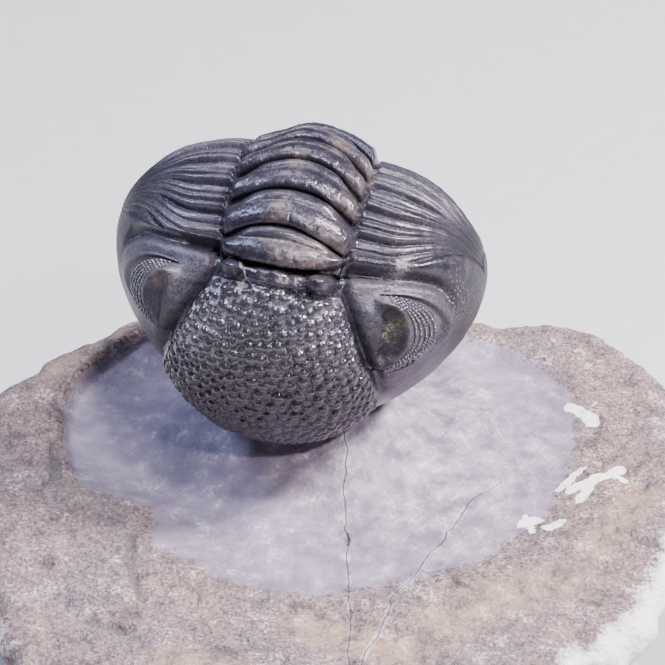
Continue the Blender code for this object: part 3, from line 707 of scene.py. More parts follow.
def surface_relief(s, warts):
    """Height of the shell over the smooth form."""
    inset = head_inset(s)
    on_head = smooth(inset, -0.15, 0.1)
    on_lobe = fall(s.lobe, 0.97, 1.03)
    back = rib_relief(s) * (1 - on_lobe)
    turned = (s.theta - HEAD_FRONT) % 360 + HEAD_FRONT
    stepped = 1 - smooth(turned, 90, 170) * smooth(np.abs(s.alpha), 28, 35)
    stepped = stepped * (1 - on_lobe)
    head = head_relief(s) - HEAD_STEP * fall(inset, 0, 0.8) * stepped
    head = head + 0.12 * bell(inset, 0.3, 0.3) * stepped
    mixed = head * on_head + back * (1 - on_head)
    on_axis = np.where(s.beta < OCCIPITAL_FURROW + 1, head, 0)
    relief = mixed * (1 - on_lobe) + on_axis * on_lobe
    s.on_head = on_head
    relief = relief + middle_lobe(s) + ring_relief(s) + wart_relief(s, warts)
    s.vein = sum(bell(line_distance(s.form, on_form(line)), 0, VEIN_WIDTH) for line in NECK_VEINS)
    lumps = SKIN_LUMPS * fractal(s.form, 2.4, 21, 2) + SKIN_RIPPLES * fractal(s.form, 0.55, 31, 2)
    return relief + VEIN_HEIGHT * s.vein + lumps * (1 - 0.5 * s.eye)


# Grid of the shell

def coil_columns():
    """Coil angles from the front rim over the head, back and tail, once round."""
    parts = [np.linspace(FRONT_RIM, GLABELLA_FRONT, 12)]
    parts.append(np.linspace(GLABELLA_FRONT, GLABELLA_BACK, GLABELLA_COLUMNS))
    parts.append(np.linspace(GLABELLA_BACK, OCCIPITAL_FURROW, 27))
    parts.append(np.linspace(OCCIPITAL_FURROW, FIRST_RING, RING_COLUMNS))
    for number, (start, end) in enumerate(zip(RING_FRONTS[:-1], RING_FRONTS[1:])):
        steps = RING_COLUMNS if number < SEEN_RINGS else HIDDEN_RING_COLUMNS
        parts.append(np.linspace(start, end, steps + 1))
    parts.append(np.linspace(TAIL_START, TAIL_TIP, TAIL_RINGS * 13))
    parts.append(np.linspace(TAIL_TIP, FRONT_RIM + ROUND, 14)[:-1])
    return np.unique(np.round(np.concatenate(parts), 6))


def grid_width(beta):
    """Sideways place of the rows that follow the foot of the middle lobe."""
    width = float(np.interp(beta, LOBE_STATIONS, LOBE_HALF_WIDTHS))
    if beta > TAIL_START:
        width = max(width, GRID_TAIL_WIDTH)
    if beta > TAIL_TIP:
        share = (beta - TAIL_TIP) / (FRONT_RIM + ROUND - TAIL_TIP)
        width = GRID_TAIL_WIDTH + (GLABELLA_HALF_WIDTH - GRID_TAIL_WIDTH) * share
    return width


def across_rows(theta, beta):
    """Angles across one side of the form, from the midline to the pole at the cheek."""
    width = grid_width(beta)
    share = 1 - (1 - np.linspace(0, 1, LOBE_ROWS)) ** 1.2
    xs = np.concatenate([width * share, width + FURROW_WIDTH * np.linspace(0, 1, FURROW_ROWS + 1)[1:]])
    inner = alpha_at(theta, xs)
    turned = (theta - HEAD_FRONT) % 360 + HEAD_FRONT
    edge = max(float(stations(turned, HEAD_SIDE)), inner[-1] + 8) if turned > HEAD_SIDE_START else 64
    cheek = inner[-1] + (edge - inner[-1]) * np.linspace(0, 1, CHEEK_ROWS + 1)[1:]
    genal = edge + (90 - edge) * np.linspace(0, 1, GENAL_ROWS + 1)[1:]
    return np.concatenate([inner, cheek, genal])


def grid_normals(points):
    """Outward normals of the grid, from each point's neighbours."""
    round_coil = np.roll(points, -1, axis=0) - np.roll(points, 1, axis=0)
    across = np.gradient(points, axis=1)
    normal = np.cross(round_coil, across)
    length = np.linalg.norm(normal, axis=-1, keepdims=True)
    normal = normal / np.maximum(length, 1e-9)
    middle = points.mean(axis=(0, 1))
    sign = np.sign(np.sum(normal * (points - middle), axis=-1).mean())
    normal = normal * sign
    normal[:, 0] = (-1, 0, 0)
    normal[:, -1] = (1, 0, 0)
    return normal


def posed(points):
    """Turns and moves points of the coil's own frame to their place on the rock."""
    roll = math.radians(ROLL)
    yaw = math.radians(YAW)
    x, y, z = points[..., 0], points[..., 1], points[..., 2]
    x, z = x * math.cos(roll) + z * math.sin(roll), z * math.cos(roll) - x * math.sin(roll)
    x, y = x * math.cos(yaw) - y * math.sin(yaw), x * math.sin(yaw) + y * math.cos(yaw)
    return np.stack([x, y, z], -1) + np.array(HUB)


def raised(s, warts):
    """Points of the shell for spots on the form."""
    normal, backwards = form_directions(s.theta, s.alpha)
    height = surface_relief(s, warts)
    return s.form + normal * height[..., None] - backwards * s.lean[..., None]


def shell_grid(warts):
    """Points, normals and finish masks of the whole shell, with one row at each cheek's pole."""
    beta = coil_columns()
    theta = hub_direction(beta)
    sides = np.array([across_rows(t, b) for t, b in zip(theta, beta)])
    alpha = np.concatenate([-sides[:, :0:-1], sides], axis=1)
    beta = np.broadcast_to(beta[:, None], alpha.shape)
    theta = np.broadcast_to(theta[:, None], alpha.shape)
    s = spots(beta, theta, alpha)
    points = raised(s, warts)
    s.points = posed(points)
    s.normals = posed(grid_normals(points)) - np.array(HUB)
    s.masks = finish_masks(s)
    return s


def crack_offset(s):
    """Signed distance sideways from the nearest crack, so that its line stays sharp between points."""
    nearest = np.full(s.beta.shape, 9.0)
    for line in SHELL_CRACKS:
        betas = [mark[0] for mark in line]
        beyond = np.maximum(betas[0] - s.beta, 0) + np.maximum(s.beta - betas[-1], 0)
        offset = s.x - stations(s.beta, line) + 0.12 * lattice(s.form, 1.2, 96)
        offset = np.sign(offset) * np.hypot(offset, 0.25 * beyond)
        nearest = np.where(np.abs(offset) < np.abs(nearest), offset, nearest)
    return nearest


def finish_masks(s):
    """Masks over the shell for the material: dust, stain, matt and powdery skin, painted light on the left
    pleurae and tubercle tops, and painted shade in tubercle gaps, grooves, eyes, far sides and under faces.
    """
    patchy = fractal(s.form, 1.6, 41, 3)
    left_edge = smooth(-s.x / s.width, 0.2, 0.85) * smooth(-s.beta, 30, -25)
    upper = smooth(s.beta, -10, 22)
    dust = 0.1 * s.gap + 0.04 * s.groove * (1 - s.on_head) + 0.15 * s.furrow + 0.35 * s.hem
    dust = dust + 0.3 * s.rubble + s.valley * (0.03 + 0.6 * left_edge + 0.3 * upper) + 0.8 * s.vein
    dust = dust + 0.1 * s.eye
    dust = np.clip(dust * (0.8 + 0.5 * patchy), 0, 1)
    brown = np.zeros(s.beta.shape)
    for beta, x, reach in BROWN_PATCHES:
        away = np.linalg.norm(s.form - on_form([(beta, x)])[0], axis=-1)
        brown = np.maximum(brown, fall(away + 0.5 * patchy, 0.2 * reach, 1.3 * reach))
    brown = np.maximum(brown, 0.7 * s.rubble)
    outside = smooth(s.beside, 0.2, 1.2)
    far = smooth(np.abs(s.alpha), 54, 68)
    skin = outside * smooth(50 - s.beta, 0, 8) * s.on_head
    matt = np.clip(np.maximum(0.9 * s.palpebral, np.maximum(0.6 * skin, 0.9 * far)), 0, 1)
    powder_and_painted_light = np.clip(skin * (1 - far) * (1 - s.palpebral) * (1 - 0.7 * s.furrow), 0, 1)
    # Pleurae get pale powder, more on the left side, where the extra is painted light.
    powder_and_painted_light = np.maximum(powder_and_painted_light, np.where(s.x < 0, 0.6, 0.35) * outside * (1 - far) * (1 - s.on_head))
    deposit = bell(line_distance(s.form, on_form(DEPOSIT)), 0, 0.7)
    lower = fall(s.beta, -25, 12)
    # Painted shade: the right eye's dish is darkened, and the left one less so. The lens bands, the far
    # sides of the coil and the rib grooves are darkened too, and so are the gaps between tubercles, most on
    # the lower glabella.
    dish = s.palpebral * np.where(s.x > 0, 0.8, 0.25)
    painted_shade_mask = np.maximum(s.valley * (0.45 + 0.5 * lower), np.maximum(dish, 0.75 * s.eye))
    painted_shade_mask = np.maximum(painted_shade_mask, np.maximum(0.95 * far, 0.75 * np.clip(s.groove, 0, 1)))
    knob = fall(s.lobe, 0.9, 1) * fall(s.beta, GLABELLA_BACK, GLABELLA_BACK + 3)
    # Painted light: tubercle tops powdered paler, most on the upper glabella.
    powder_and_painted_light = np.maximum(powder_and_painted_light, knob * (1 - s.valley) * (0.04 + 0.35 * (1 - lower)))
    # Painted shade on faces of the lower glabella that turn downwards.
    downward = smooth(-s.normals[..., 2], -0.2, 0.45)
    painted_shade_mask = np.maximum(painted_shade_mask, (0.1 + 0.85 * downward) * knob * lower)
    knob = knob * (1 - 0.5 * lower)
    return {"dust": dust, "brown": brown, "matt": matt, "valley": painted_shade_mask, "deposit": deposit,
            "crack": crack_offset(s), "powder_and_painted_light": powder_and_painted_light, "knob": knob,
            "granules": smooth(s.alpha, 56, 64) * s.on_head * bell(s.beta, 32, 34)}


# Pieces of the shell

def new_piece(name, points, faces, normals, masks, material, node):
    """A mesh object in metres with its own normals and masks, standing for a node of the model."""
    mesh = bpy.data.meshes.new(name)
    mesh.from_pydata((points * MM).tolist(), [], faces)
    for title, values in masks.items():
        layer = mesh.attributes.new(title, "FLOAT", "POINT")
        layer.data.foreach_set("value", np.asarray(values, np.float32))
    mesh.shade_smooth()
    if normals is not None:
        mesh.normals_split_custom_set_from_vertices(normals.tolist())
    mesh.materials.append(material)
    piece = bpy.data.objects.new(name, mesh)
    bpy.context.scene.collection.objects.link(piece)
    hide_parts(node)
    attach(piece, "root")
    return piece


def shell_piece(name, s, chosen, material):
    """One part of the shell: the chosen cells of the grid, closed towards the middle of the coil."""
    columns, rows = s.beta.shape
    index = np.arange(columns * rows).reshape(columns, rows)
    index[:, 0] = index[0, 0]
    index[:, -1] = index[0, -1]
    ahead = np.roll(index, -1, axis=0)
    quads = np.stack([index[:, :-1], index[:, 1:], ahead[:, 1:], ahead[:, :-1]], -1)[chosen]
    faces = [tuple(dict.fromkeys(quad)) for quad in quads.tolist()]
    edges = {}
    for face in faces:
        for start, end in zip(face, face[1:] + face[:1]):
            if (end, start) in edges:
                del edges[(end, start)]
            else:
                edges[(start, end)] = True
    used = np.unique(np.concatenate([np.array(face) for face in faces]))
    place = {old: new for new, old in enumerate(used.tolist())}
    hub = len(used)
    faces = [tuple(place[v] for v in face) for face in faces]
    faces += [(place[end], place[start], hub) for start, end in edges]
    points = np.vstack([s.points.reshape(-1, 3)[used], np.array(HUB)])
    normals = np.vstack([s.normals.reshape(-1, 3)[used], (0, 0, 1)])
    masks = {title: np.append(values.reshape(-1)[used], 0) for title, values in s.masks.items()}
    return new_piece(name, points, faces, normals, masks, material, "trilobite")


def shell_pieces(s, material):
    """Parts the grid into glabella, head shield, segments and tail."""
    columns, rows = s.beta.shape
    middle = rows // 2
    beta = s.beta[:, 0]
    column = np.broadcast_to(beta[:, None], (columns, rows - 1))
    row = np.abs(np.arange(rows - 1) + 0.5 - middle)
    row = np.broadcast_to(row[None, :], (columns, rows - 1))
    lobe_rows = LOBE_ROWS + FURROW_ROWS
    cheek_rows = lobe_rows + CHEEK_ROWS
    last_front = (column < GLABELLA_BACK - 1e-4) & (column > GLABELLA_FRONT - 1e-4)
    glabella = last_front & (row < lobe_rows - 1)
    genal = row > cheek_rows - 1
    head = ((column < FIRST_RING - 1e-4) | genal) & ~glabella
    tail_margin = column > TAIL_TIP + 6
    shell_piece("glabella", s, glabella, material)
    shell_piece("head_shield", s, head | tail_margin, material)
    rest = ~genal & ~glabella & ~head & ~tail_margin
    for number in range(THORAX_RINGS):
        start, end = RING_FRONTS[number:number + 2]
        segment = rest & (column >= start - 1e-4) & (column < end - 1e-4)
        shell_piece(f"segment_{number + 1:02d}", s, segment, material)
    shell_piece("tail_shield", s, rest & (column >= TAIL_START - 1e-4), material)


def shell_points(beta, x, warts):
    """Points of the finished shell for coil angles and sideways places."""
    theta = hub_direction(beta)
    alpha = np.array([float(alpha_at(t, place)) for t, place in zip(theta, x)])
    return posed(raised(spots(beta, theta, alpha), warts))


def lens_rows(side):
    """Coil angles and sideways places of the lenses, row by row along the eye's band."""
    direction = np.linspace(4, 172, 500)
    upper, outer = eye_outline(direction, side > 0)
    middle = 0.5 * (upper + outer)
    along = middle * np.cos(np.radians(direction))
    out = middle * np.sin(np.radians(direction))
    travelled = np.concatenate([[0], np.cumsum(np.hypot(np.diff(along), np.diff(out)))])
    betas = []
    xs = []
    for row in range(LENS_ROWS):
        places = np.arange(LENS_PITCH * (0.5 + 0.5 * (row % 2)), travelled[-1], LENS_PITCH)
        turned = np.interp(places, travelled, direction)
        upper, outer = eye_outline(turned, side > 0)
        reach = upper + (LENS_MARGIN + (1 - 2 * LENS_MARGIN) * (row + 0.5) / LENS_ROWS) * (outer - upper)
        betas.append(EYE_MID + reach * np.cos(np.radians(turned)) / EYE_ARC)
        xs.append(side * (EYE_FOOT + reach * np.sin(np.radians(turned))))
    return np.concatenate(betas), np.concatenate(xs)


def eye_lenses(warts, material):
    """A small closed dome for every lens of both eyes."""
    points = []
    faces = []
    sides = LENS_SIDES
    turn = np.arange(sides) * 2 * math.pi / sides
    for side in (1, -1):
        beta, x = lens_rows(side)
        middle = shell_points(beta, x, warts)
        backwards = shell_points(beta + 0.6, x, warts) - shell_points(beta - 0.6, x, warts)
        outwards = shell_points(beta, x + 0.15, warts) - shell_points(beta, x - 0.15, warts)
        for place, b, o in zip(middle, backwards, outwards):
            normal = np.cross(b, o)
            normal = normal / np.linalg.norm(normal)
            normal = normal * np.sign(normal @ (place - np.array(HUB)))
            first = b / np.linalg.norm(b)
            second = np.cross(normal, first)
            start = len(points)
            size = LENS_RADIUS * rng.uniform(0.9, 1.08)
            for tilt in LENS_TILTS:
                flat = size * math.cos(math.radians(tilt))
                rise = size * LENS_FULLNESS * math.sin(math.radians(tilt))
                ring = np.cos(turn)[:, None] * first + np.sin(turn)[:, None] * second
                points.extend((place + flat * ring + normal * rise).tolist())
            points.append((place + normal * size * LENS_FULLNESS).tolist())
            tip = len(points) - 1
            for level in range(len(LENS_TILTS) - 1):
                low = start + level * sides
                for k in range(sides):
                    after = (k + 1) % sides
                    faces.append((low + k, low + after, low + sides + after, low + sides + k))
            last = start + (len(LENS_TILTS) - 1) * sides
            faces.extend((last + k, last + (k + 1) % sides, tip) for k in range(sides))
            faces.append(tuple(start + k for k in reversed(range(sides))))
    masks = {"dust": np.full(len(points), 0.05), "crack": np.full(len(points), 9.0),
             "knob": np.full(len(points), 0.8), "powder_and_painted_light": np.full(len(points), 0.9)}
    return new_piece("eye_lenses", np.array(points), faces, None, masks, material,
                     "trilobite")


# Rock

def outline_radius(azimuth):
    """Distance from the slab's middle to its rim."""
    angles = [math.degrees(math.atan2(y, x)) for x, y in SLAB_OUTLINE]
    radii = [math.hypot(x, y) for x, y in SLAB_OUTLINE]
    return np.interp(azimuth, angles, radii, period=360)


def rim_radius(azimuth):
    """The outline with its nibbled edge of broken stone."""
    turn = np.radians(azimuth)
    notches = np.abs(np.sin(turn * 9 + 0.6)) + np.abs(np.sin(turn * 17 + 1.4))
    return outline_radius(azimuth) + 0.5 * notches - 0.6 + 0.2 * np.sin(turn * 41)


def rim_bevel(azimuth):
    """Width of the worn edge, wider where the rim has broken away, and how broken it is."""
    broken = smooth(azimuth, *BROKEN_RIM[:2]) * fall(azimuth, *BROKEN_RIM[2:])
    return RIM_BEVEL + (BROKEN_RIM_BEVEL - RIM_BEVEL) * broken, broken


def marks_mask(x, y, marks, soft=0.5):
    """Soft-edged strokes, each between two places and with a half width."""
    points = np.stack([x, y], -1)
    uneven = lattice(np.stack([x, y, 0 * x], -1), 0.7, 65)
    total = np.zeros(x.shape)
    for start, end, wide in marks:
        away = line_distance(points, (start, end)) + 0.35 * wide * uneven
        total = np.maximum(total, fall(away, wide * (1 - soft), wide * (1 + soft)))
    return total


def rock_crack_offset(x, y):
    """Signed distance sideways from the nearer of the two long cracks."""
    down = np.stack([0 * y, y, 0 * y], -1)
    ragged = 0.3 * lattice(down, 2.3, 66) + 0.12 * lattice(down, 0.8, 67)
    nearest = np.full(x.shape, 9.0)
    for line, steep in ((HAIRLINE, 1), (SLANTED_CRACK, 0.87)):
        ordered = sorted((mark[1], mark[0]) for mark in line)
        offset = (x - stations(y, ordered) + ragged) * steep
        beyond = np.maximum(y - ordered[-1][0], 0)
        offset = np.sign(offset) * np.hypot(offset, beyond)
        nearest = np.where(np.abs(offset) < np.abs(nearest), offset, nearest)
    return nearest


def top_height(x, y):
    """Height of the slab's upper face, with the prepared hollow and the pedestal."""
    uneven = 0.35 * np.sin(x * 0.21 + 1.3) * np.cos(y * 0.17 + 0.4) + 0.2 * np.sin(x * 0.5 + y * 0.37)
    away = np.hypot(x - HOLLOW_CENTRE[0], y - HOLLOW_CENTRE[1])
    azimuth = np.degrees(np.arctan2(y - HOLLOW_CENTRE[1], x - HOLLOW_CENTRE[0]))
    edge = np.interp(azimuth, HOLLOW_STATIONS, HOLLOW_RADII)
    depth = stations(azimuth, HOLLOW_DEPTHS)
    soft = 1 + 4.5 * fall(depth, 0.6, 1.3)
    sunk = depth * fall(away, edge - 1.1 * soft, edge + 0.6 * soft)
    foot = np.hypot(x - PEDESTAL_FOOT[0], y - PEDESTAL_FOOT[1])
    cone = PEDESTAL_RISE * (1 - smooth(foot, PEDESTAL_NECK, PEDESTAL_REACH) ** 0.6)
    bearing = np.degrees(np.arctan2(y, x))
    back_rim = BACK_RIM_RISE * bell(bearing, BACK_RIM_AZIMUTH, 26)
    back_rim = back_rim * smooth(np.hypot(x, y), 30, 36)
    prepared = fall(away, edge - 0.5 - 0.6 * soft, edge + 0.4 + 0.4 * soft)
    dish = DISH_DEPTH * bell(np.hypot(x - DISH[0], y - DISH[1]), 0, DISH_REACH)
    return SLAB_TOP + uneven - sunk + cone + back_rim - dish, prepared


def broken_stone(points):
    """Angular relief of broken stone, from folded noise of two sizes."""
    large = 0.5 - np.abs(lattice(points * (1, 1, 1.6), 6.5, 71))
    small = 0.5 - np.abs(lattice(points * (1, 1, 1.5), 2.6, 72))
    return 1.3 * large + 0.6 * small + 0.2 * fractal(points, 1.1, 73, 2)


def top_marks(x, y, prepared):
    """Masks of the upper face for the material, painted shade among them, and how much its marks dent it.
    """
    calcite = marks_mask(x, y, CALCITE, 0.5)
    dark = marks_mask(x, y, DARK_MARKS_AND_LEDGE_SHADOW)
    shady = bell(line_distance(np.stack([x, y], -1), SHADY_BAND), 0, 1.9)
    ochre = marks_mask(x, y, OCHRE_BANDS, 0.9) * (1 - prepared)
    dent = MARK_DENT * dark - CALCITE_RISE * calcite
    # Painted shade: the band by the hollow's lower left edge, and the ball's shadow over the left of the
    # prepared hollow.
    shady = 0.45 * shady + 0.3 * prepared * smooth(-x, 6, 22)
    masks = {"prepared": prepared, "calcite": calcite, "dark": np.clip(dark + shady, 0, 1),
             "ochre": ochre, "fresh": 0 * x, "crack": rock_crack_offset(x, y),
             "scraped_and_painted_light": prepared * bell(np.hypot(x - SCRAPED_AND_PAINTED_LIGHT_SPOT[0], y - SCRAPED_AND_PAINTED_LIGHT_SPOT[1]), 0, SCRAPED_AND_PAINTED_LIGHT_REACH)}
    return masks, dent


def rock_slab(material):
    """The slab on a polar grid: upper face, broken sides and flat underside."""
    azimuth = np.arange(RAYS) * 360 / RAYS - 180
    rim = rim_radius(azimuth)
    bevel, broken = rim_bevel(azimuth)
    turn = np.radians(azimuth)
    flat = 0 * turn
    blank = {"prepared": flat, "calcite": flat, "dark": flat, "ochre": flat, "fresh": flat,
             "crack": flat + 9, "scraped_and_painted_light": flat}
    rings = []
    masks = []
    for ring in range(1, TOP_RINGS + 1):
        reach = (rim - bevel) * (ring / TOP_RINGS) ** 0.95
        x = reach * np.cos(turn)
        y = reach * np.sin(turn)
        z, prepared = top_height(x, y)
        points = np.stack([x, y, z], -1)
        found, dent = top_marks(x, y, prepared)
        rough = 1 - prepared
        grain = OUTER_GRAIN * fractal(points, 0.8, 51, 2) * rough
        grain = grain + PREPARED_GRAIN * fractal(points, 0.6, 55, 2) * prepared
        chips = CHIP_DEPTH * smooth(fractal(points, 2.2, 57, 2), 0.3, 0.8) * rough
        ledges = LEDGE_HEIGHT * np.abs(fractal(points * (1, 1.4, 1), 3.4, 58, 3)) * rough
        broad = BROAD_RELIEF * fractal(points, 5, 61, 3) * (0.35 + 0.65 * rough)
        points[:, 2] += grain + broad + ledges - chips - dent
        rings.append(points)
        masks.append(found)
    top_edge = rings[-1][:, 2]
    for ring in range(1, SIDE_RINGS + 1):
        share = ring / SIDE_RINGS
        reach = rim * stations(share, SIDE_SHARES)
        z = top_edge * stations(share, SIDE_HEIGHTS)
        points = np.stack([reach * np.cos(turn), reach * np.sin(turn), z], -1)
        rough = 1.1 * broken_stone(points) - 0.3
        rough = rough * smooth(share, 0, 0.15) * fall(share, 0.92, 1)
        points[:, 0] += rough * np.cos(turn)
        points[:, 1] += rough * np.sin(turn)
        rings.append(points)
        ochre = smooth(fractal(points, 7, 75, 2), 0.1, 0.7)
        pale = 0.25 * smooth(fractal(points, 4, 77, 2), 0.2, 0.6)
        worn = broken * fall(share, 0.4, 0.9) + 0.35 * fractal(points, 7, 79, 3)
        fresh = smooth(worn, 0.3, 0.75) * smooth(broken, 0, 0.25)
        masks.append({**blank, "ochre": ochre * (1 - broken), "fresh": np.maximum(fresh, pale)})
    for ring in range(1, BASE_RINGS):
        share = SLAB_BASE_SHARE * (1 - ring / BASE_RINGS)
        rings.append(np.stack([rim * share * np.cos(turn), rim * share * np.sin(turn), flat], -1))
        masks.append(blank)
    grid = np.array(rings)
    count = len(rings) * RAYS
    points = np.vstack([grid.reshape(-1, 3), (0, 0, float(top_height(0, 0)[0])), (0, 0, 0)])
    index = np.arange(count).reshape(len(rings), RAYS)
    beside = np.roll(index, -1, axis=1)
    quads = np.stack([index[:-1], index[1:], beside[1:], beside[:-1]], -1).reshape(-1, 4)
    faces = quads.tolist()
    faces += [(int(a), int(b), count) for a, b in zip(index[0], beside[0])]
    faces += [(int(b), int(a), count + 1) for a, b in zip(index[-1], beside[-1])]
    ends = {"prepared": (1, 0), "crack": (9, 9)}
    layers = {}
    for title in blank:
        values = np.concatenate([found[title] for found in masks])
        layers[title] = np.append(values, ends.get(title, (0, 0)))
    return new_piece("rock_slab", points, faces, None, layers, material, "rock_matrix")


# Materials

class Value:
    """An output of a shader node; sums and products of values make the nodes for them."""

    def __init__(self, node, output=0):
        self.node = node
        self.tree = node.id_data
        self.socket = node.outputs[output]

    def __getitem__(self, output):
        """Another output of the same node."""
        return Value(self.node, output)

    def maths(self, operation, other=0.0):
        return add(self.tree, "ShaderNodeMath", {0: self, 1: other}, operation=operation)

    def __add__(self, other):
        return self.maths("ADD", other)

    def __sub__(self, other):
        return self.maths("SUBTRACT", other)

    def __mul__(self, other):
        return self.maths("MULTIPLY", other)

    def __abs__(self):
        return self.maths("ABSOLUTE")

    def ranged(self, low, high, to_low=0.0, to_high=1.0):
        """Takes the value's range to another, held at both ends."""
        sockets = {"Value": self, "From Min": low, "From Max": high, "To Min": to_low, "To Max": to_high}
        return add(self.tree, "ShaderNodeMapRange", sockets)

    def toned(self, stops):
        """Colours along the value."""
        ramp = add(self.tree, "ShaderNodeValToRGB", {"Fac": self})
        band = ramp.node.color_ramp
        while len(band.elements) < len(stops):
            band.elements.new(0.5)
        for element, (place, colour) in zip(band.elements, stops):
            element.position = place
            element.color = (*colour, 1.0)
        return ramp

    def covered(self, share, colour, kind="MIX"):
        """This colour with another laid over it by its share."""
        if isinstance(colour, tuple):
            colour = (*colour, 1.0)
        sockets = {0: share, 6: self, 7: colour}
        return add(self.tree, "ShaderNodeMix", sockets, 2, data_type="RGBA", blend_type=kind)


def feed(socket, value):
    """Links a value into a socket, or sets the socket to a plain number or colour."""
    if isinstance(value, Value):
        socket.id_data.links.new(value.socket, socket)
    else:
        socket.default_value = value


def add(tree, kind, sockets=None, output=0, **settings):
    """A new shader node with its settings made and its sockets fed; gives one of its outputs."""
    node = tree.nodes.new(kind)
    for title, setting in settings.items():
        setattr(node, title, setting)
    for key, value in (sockets or {}).items():
        feed(node.inputs[key], value)
    return Value(node, output)


def place_on(tree):
    """Places on the piece, which every pattern is made from."""
    return add(tree, "ShaderNodeTexCoord", output="Object")


def noise(where, scale, detail=3.0, roughness=0.55):
    sockets = {"Vector": where, "Scale": scale, "Detail": detail, "Roughness": roughness}
    return add(where.tree, "ShaderNodeTexNoise", sockets)


def cells(where, scale):
    """Distances from the middles of small cells; its Color is one for each cell."""
    return add(where.tree, "ShaderNodeTexVoronoi", {"Vector": where, "Scale": scale})


def mask(tree, title):
    return add(tree, "ShaderNodeAttribute", output="Fac", attribute_name=title)


def new_group(name, inputs, outputs):
    """A node group with its sockets; gives its tree, its inputs and its output node."""
    tree = bpy.data.node_groups.new(name, "ShaderNodeTree")
    for title, kind, value in inputs:
        socket = tree.interface.new_socket(title, in_out="INPUT", socket_type=kind)
        socket.default_value = value
    for title, kind in outputs:
        tree.interface.new_socket(title, in_out="OUTPUT", socket_type=kind)
    return tree, Value(tree.nodes.new("NodeGroupInput")), tree.nodes.new("NodeGroupOutput")


def grain_group():
    """Fine mineral grain: mottling, pits and sparkling specks at one scale, with their height."""
    titles = ("Mottle", "Pits", "Specks", "Height")
    tree, start, end = new_group("mineral grain", (("Scale", "NodeSocketFloat", 1000.0),),
                                 [(title, "NodeSocketFloat") for title in titles])
    where = place_on(tree)
    mottle = noise(where, start["Scale"], 5.0, 0.65)
    pores = cells(where, start["Scale"] * PORE_SCALE)
    pits = pores.ranged(0.12, 0.3, 1.0, 0.0) * pores["Color"].ranged(0.62, 0.7)
    grains = cells(where, start["Scale"] * SPECK_SCALE)
    specks = grains.ranged(0.1, 0.28, 1.0, 0.0) * grains["Color"].ranged(0.72, 0.76)
    for title, value in zip(titles, (mottle, pits, specks, mottle - pits * 0.45)):
        feed(end.inputs[title], value)
    return tree


def dust_group():
    """Pale dust over a colour: thick where the amount is high, broken up by grain."""
    tree, start, end = new_group("settled dust", (("Colour", "NodeSocketColor", (0.1, 0.1, 0.1, 1)),
                                                  ("Dust Colour", "NodeSocketColor", (0.5, 0.5, 0.5, 1)),
                                                  ("Amount", "NodeSocketFloat", 0.0),
                                                  ("Grain", "NodeSocketFloat", 0.5)),
                                 (("Colour", "NodeSocketColor"), ("Cover", "NodeSocketFloat")))
    cover = (start["Amount"] + start["Grain"]).ranged(0.62, 1.25) * start["Amount"].ranged(0.0, 0.15)
    feed(end.inputs["Colour"], start["Colour"].covered(cover, start["Dust Colour"]))
    feed(end.inputs["Cover"], cover)
    return tree


def new_material(name):
    material = bpy.data.materials.new(name)
    material.use_nodes = True
    tree = material.node_tree
    return material, tree, tree.nodes["Principled BSDF"]


def grain_in(tree, grain_tree, scale):
    """The mineral grain in a material; by itself it is the mottling."""
    return add(tree, "ShaderNodeGroup", {"Scale": scale}, "Mottle", node_tree=grain_tree)


def dust_over(colour, dust_tree, dust_colour, amount, grain):
    """A colour with settled dust over it; its Cover says where the dust lies."""
    sockets = {"Colour": colour, "Dust Colour": (*dust_colour, 1.0), "Amount": amount, "Grain": grain}
    return add(colour.tree, "ShaderNodeGroup", sockets, "Colour", node_tree=dust_tree)


def layered(colour, layers):
    """A colour with layers over it, each a share and a colour, from the lowest to the topmost."""
    for share, tint in layers:
        colour = colour.covered(share, tint)
    return colour


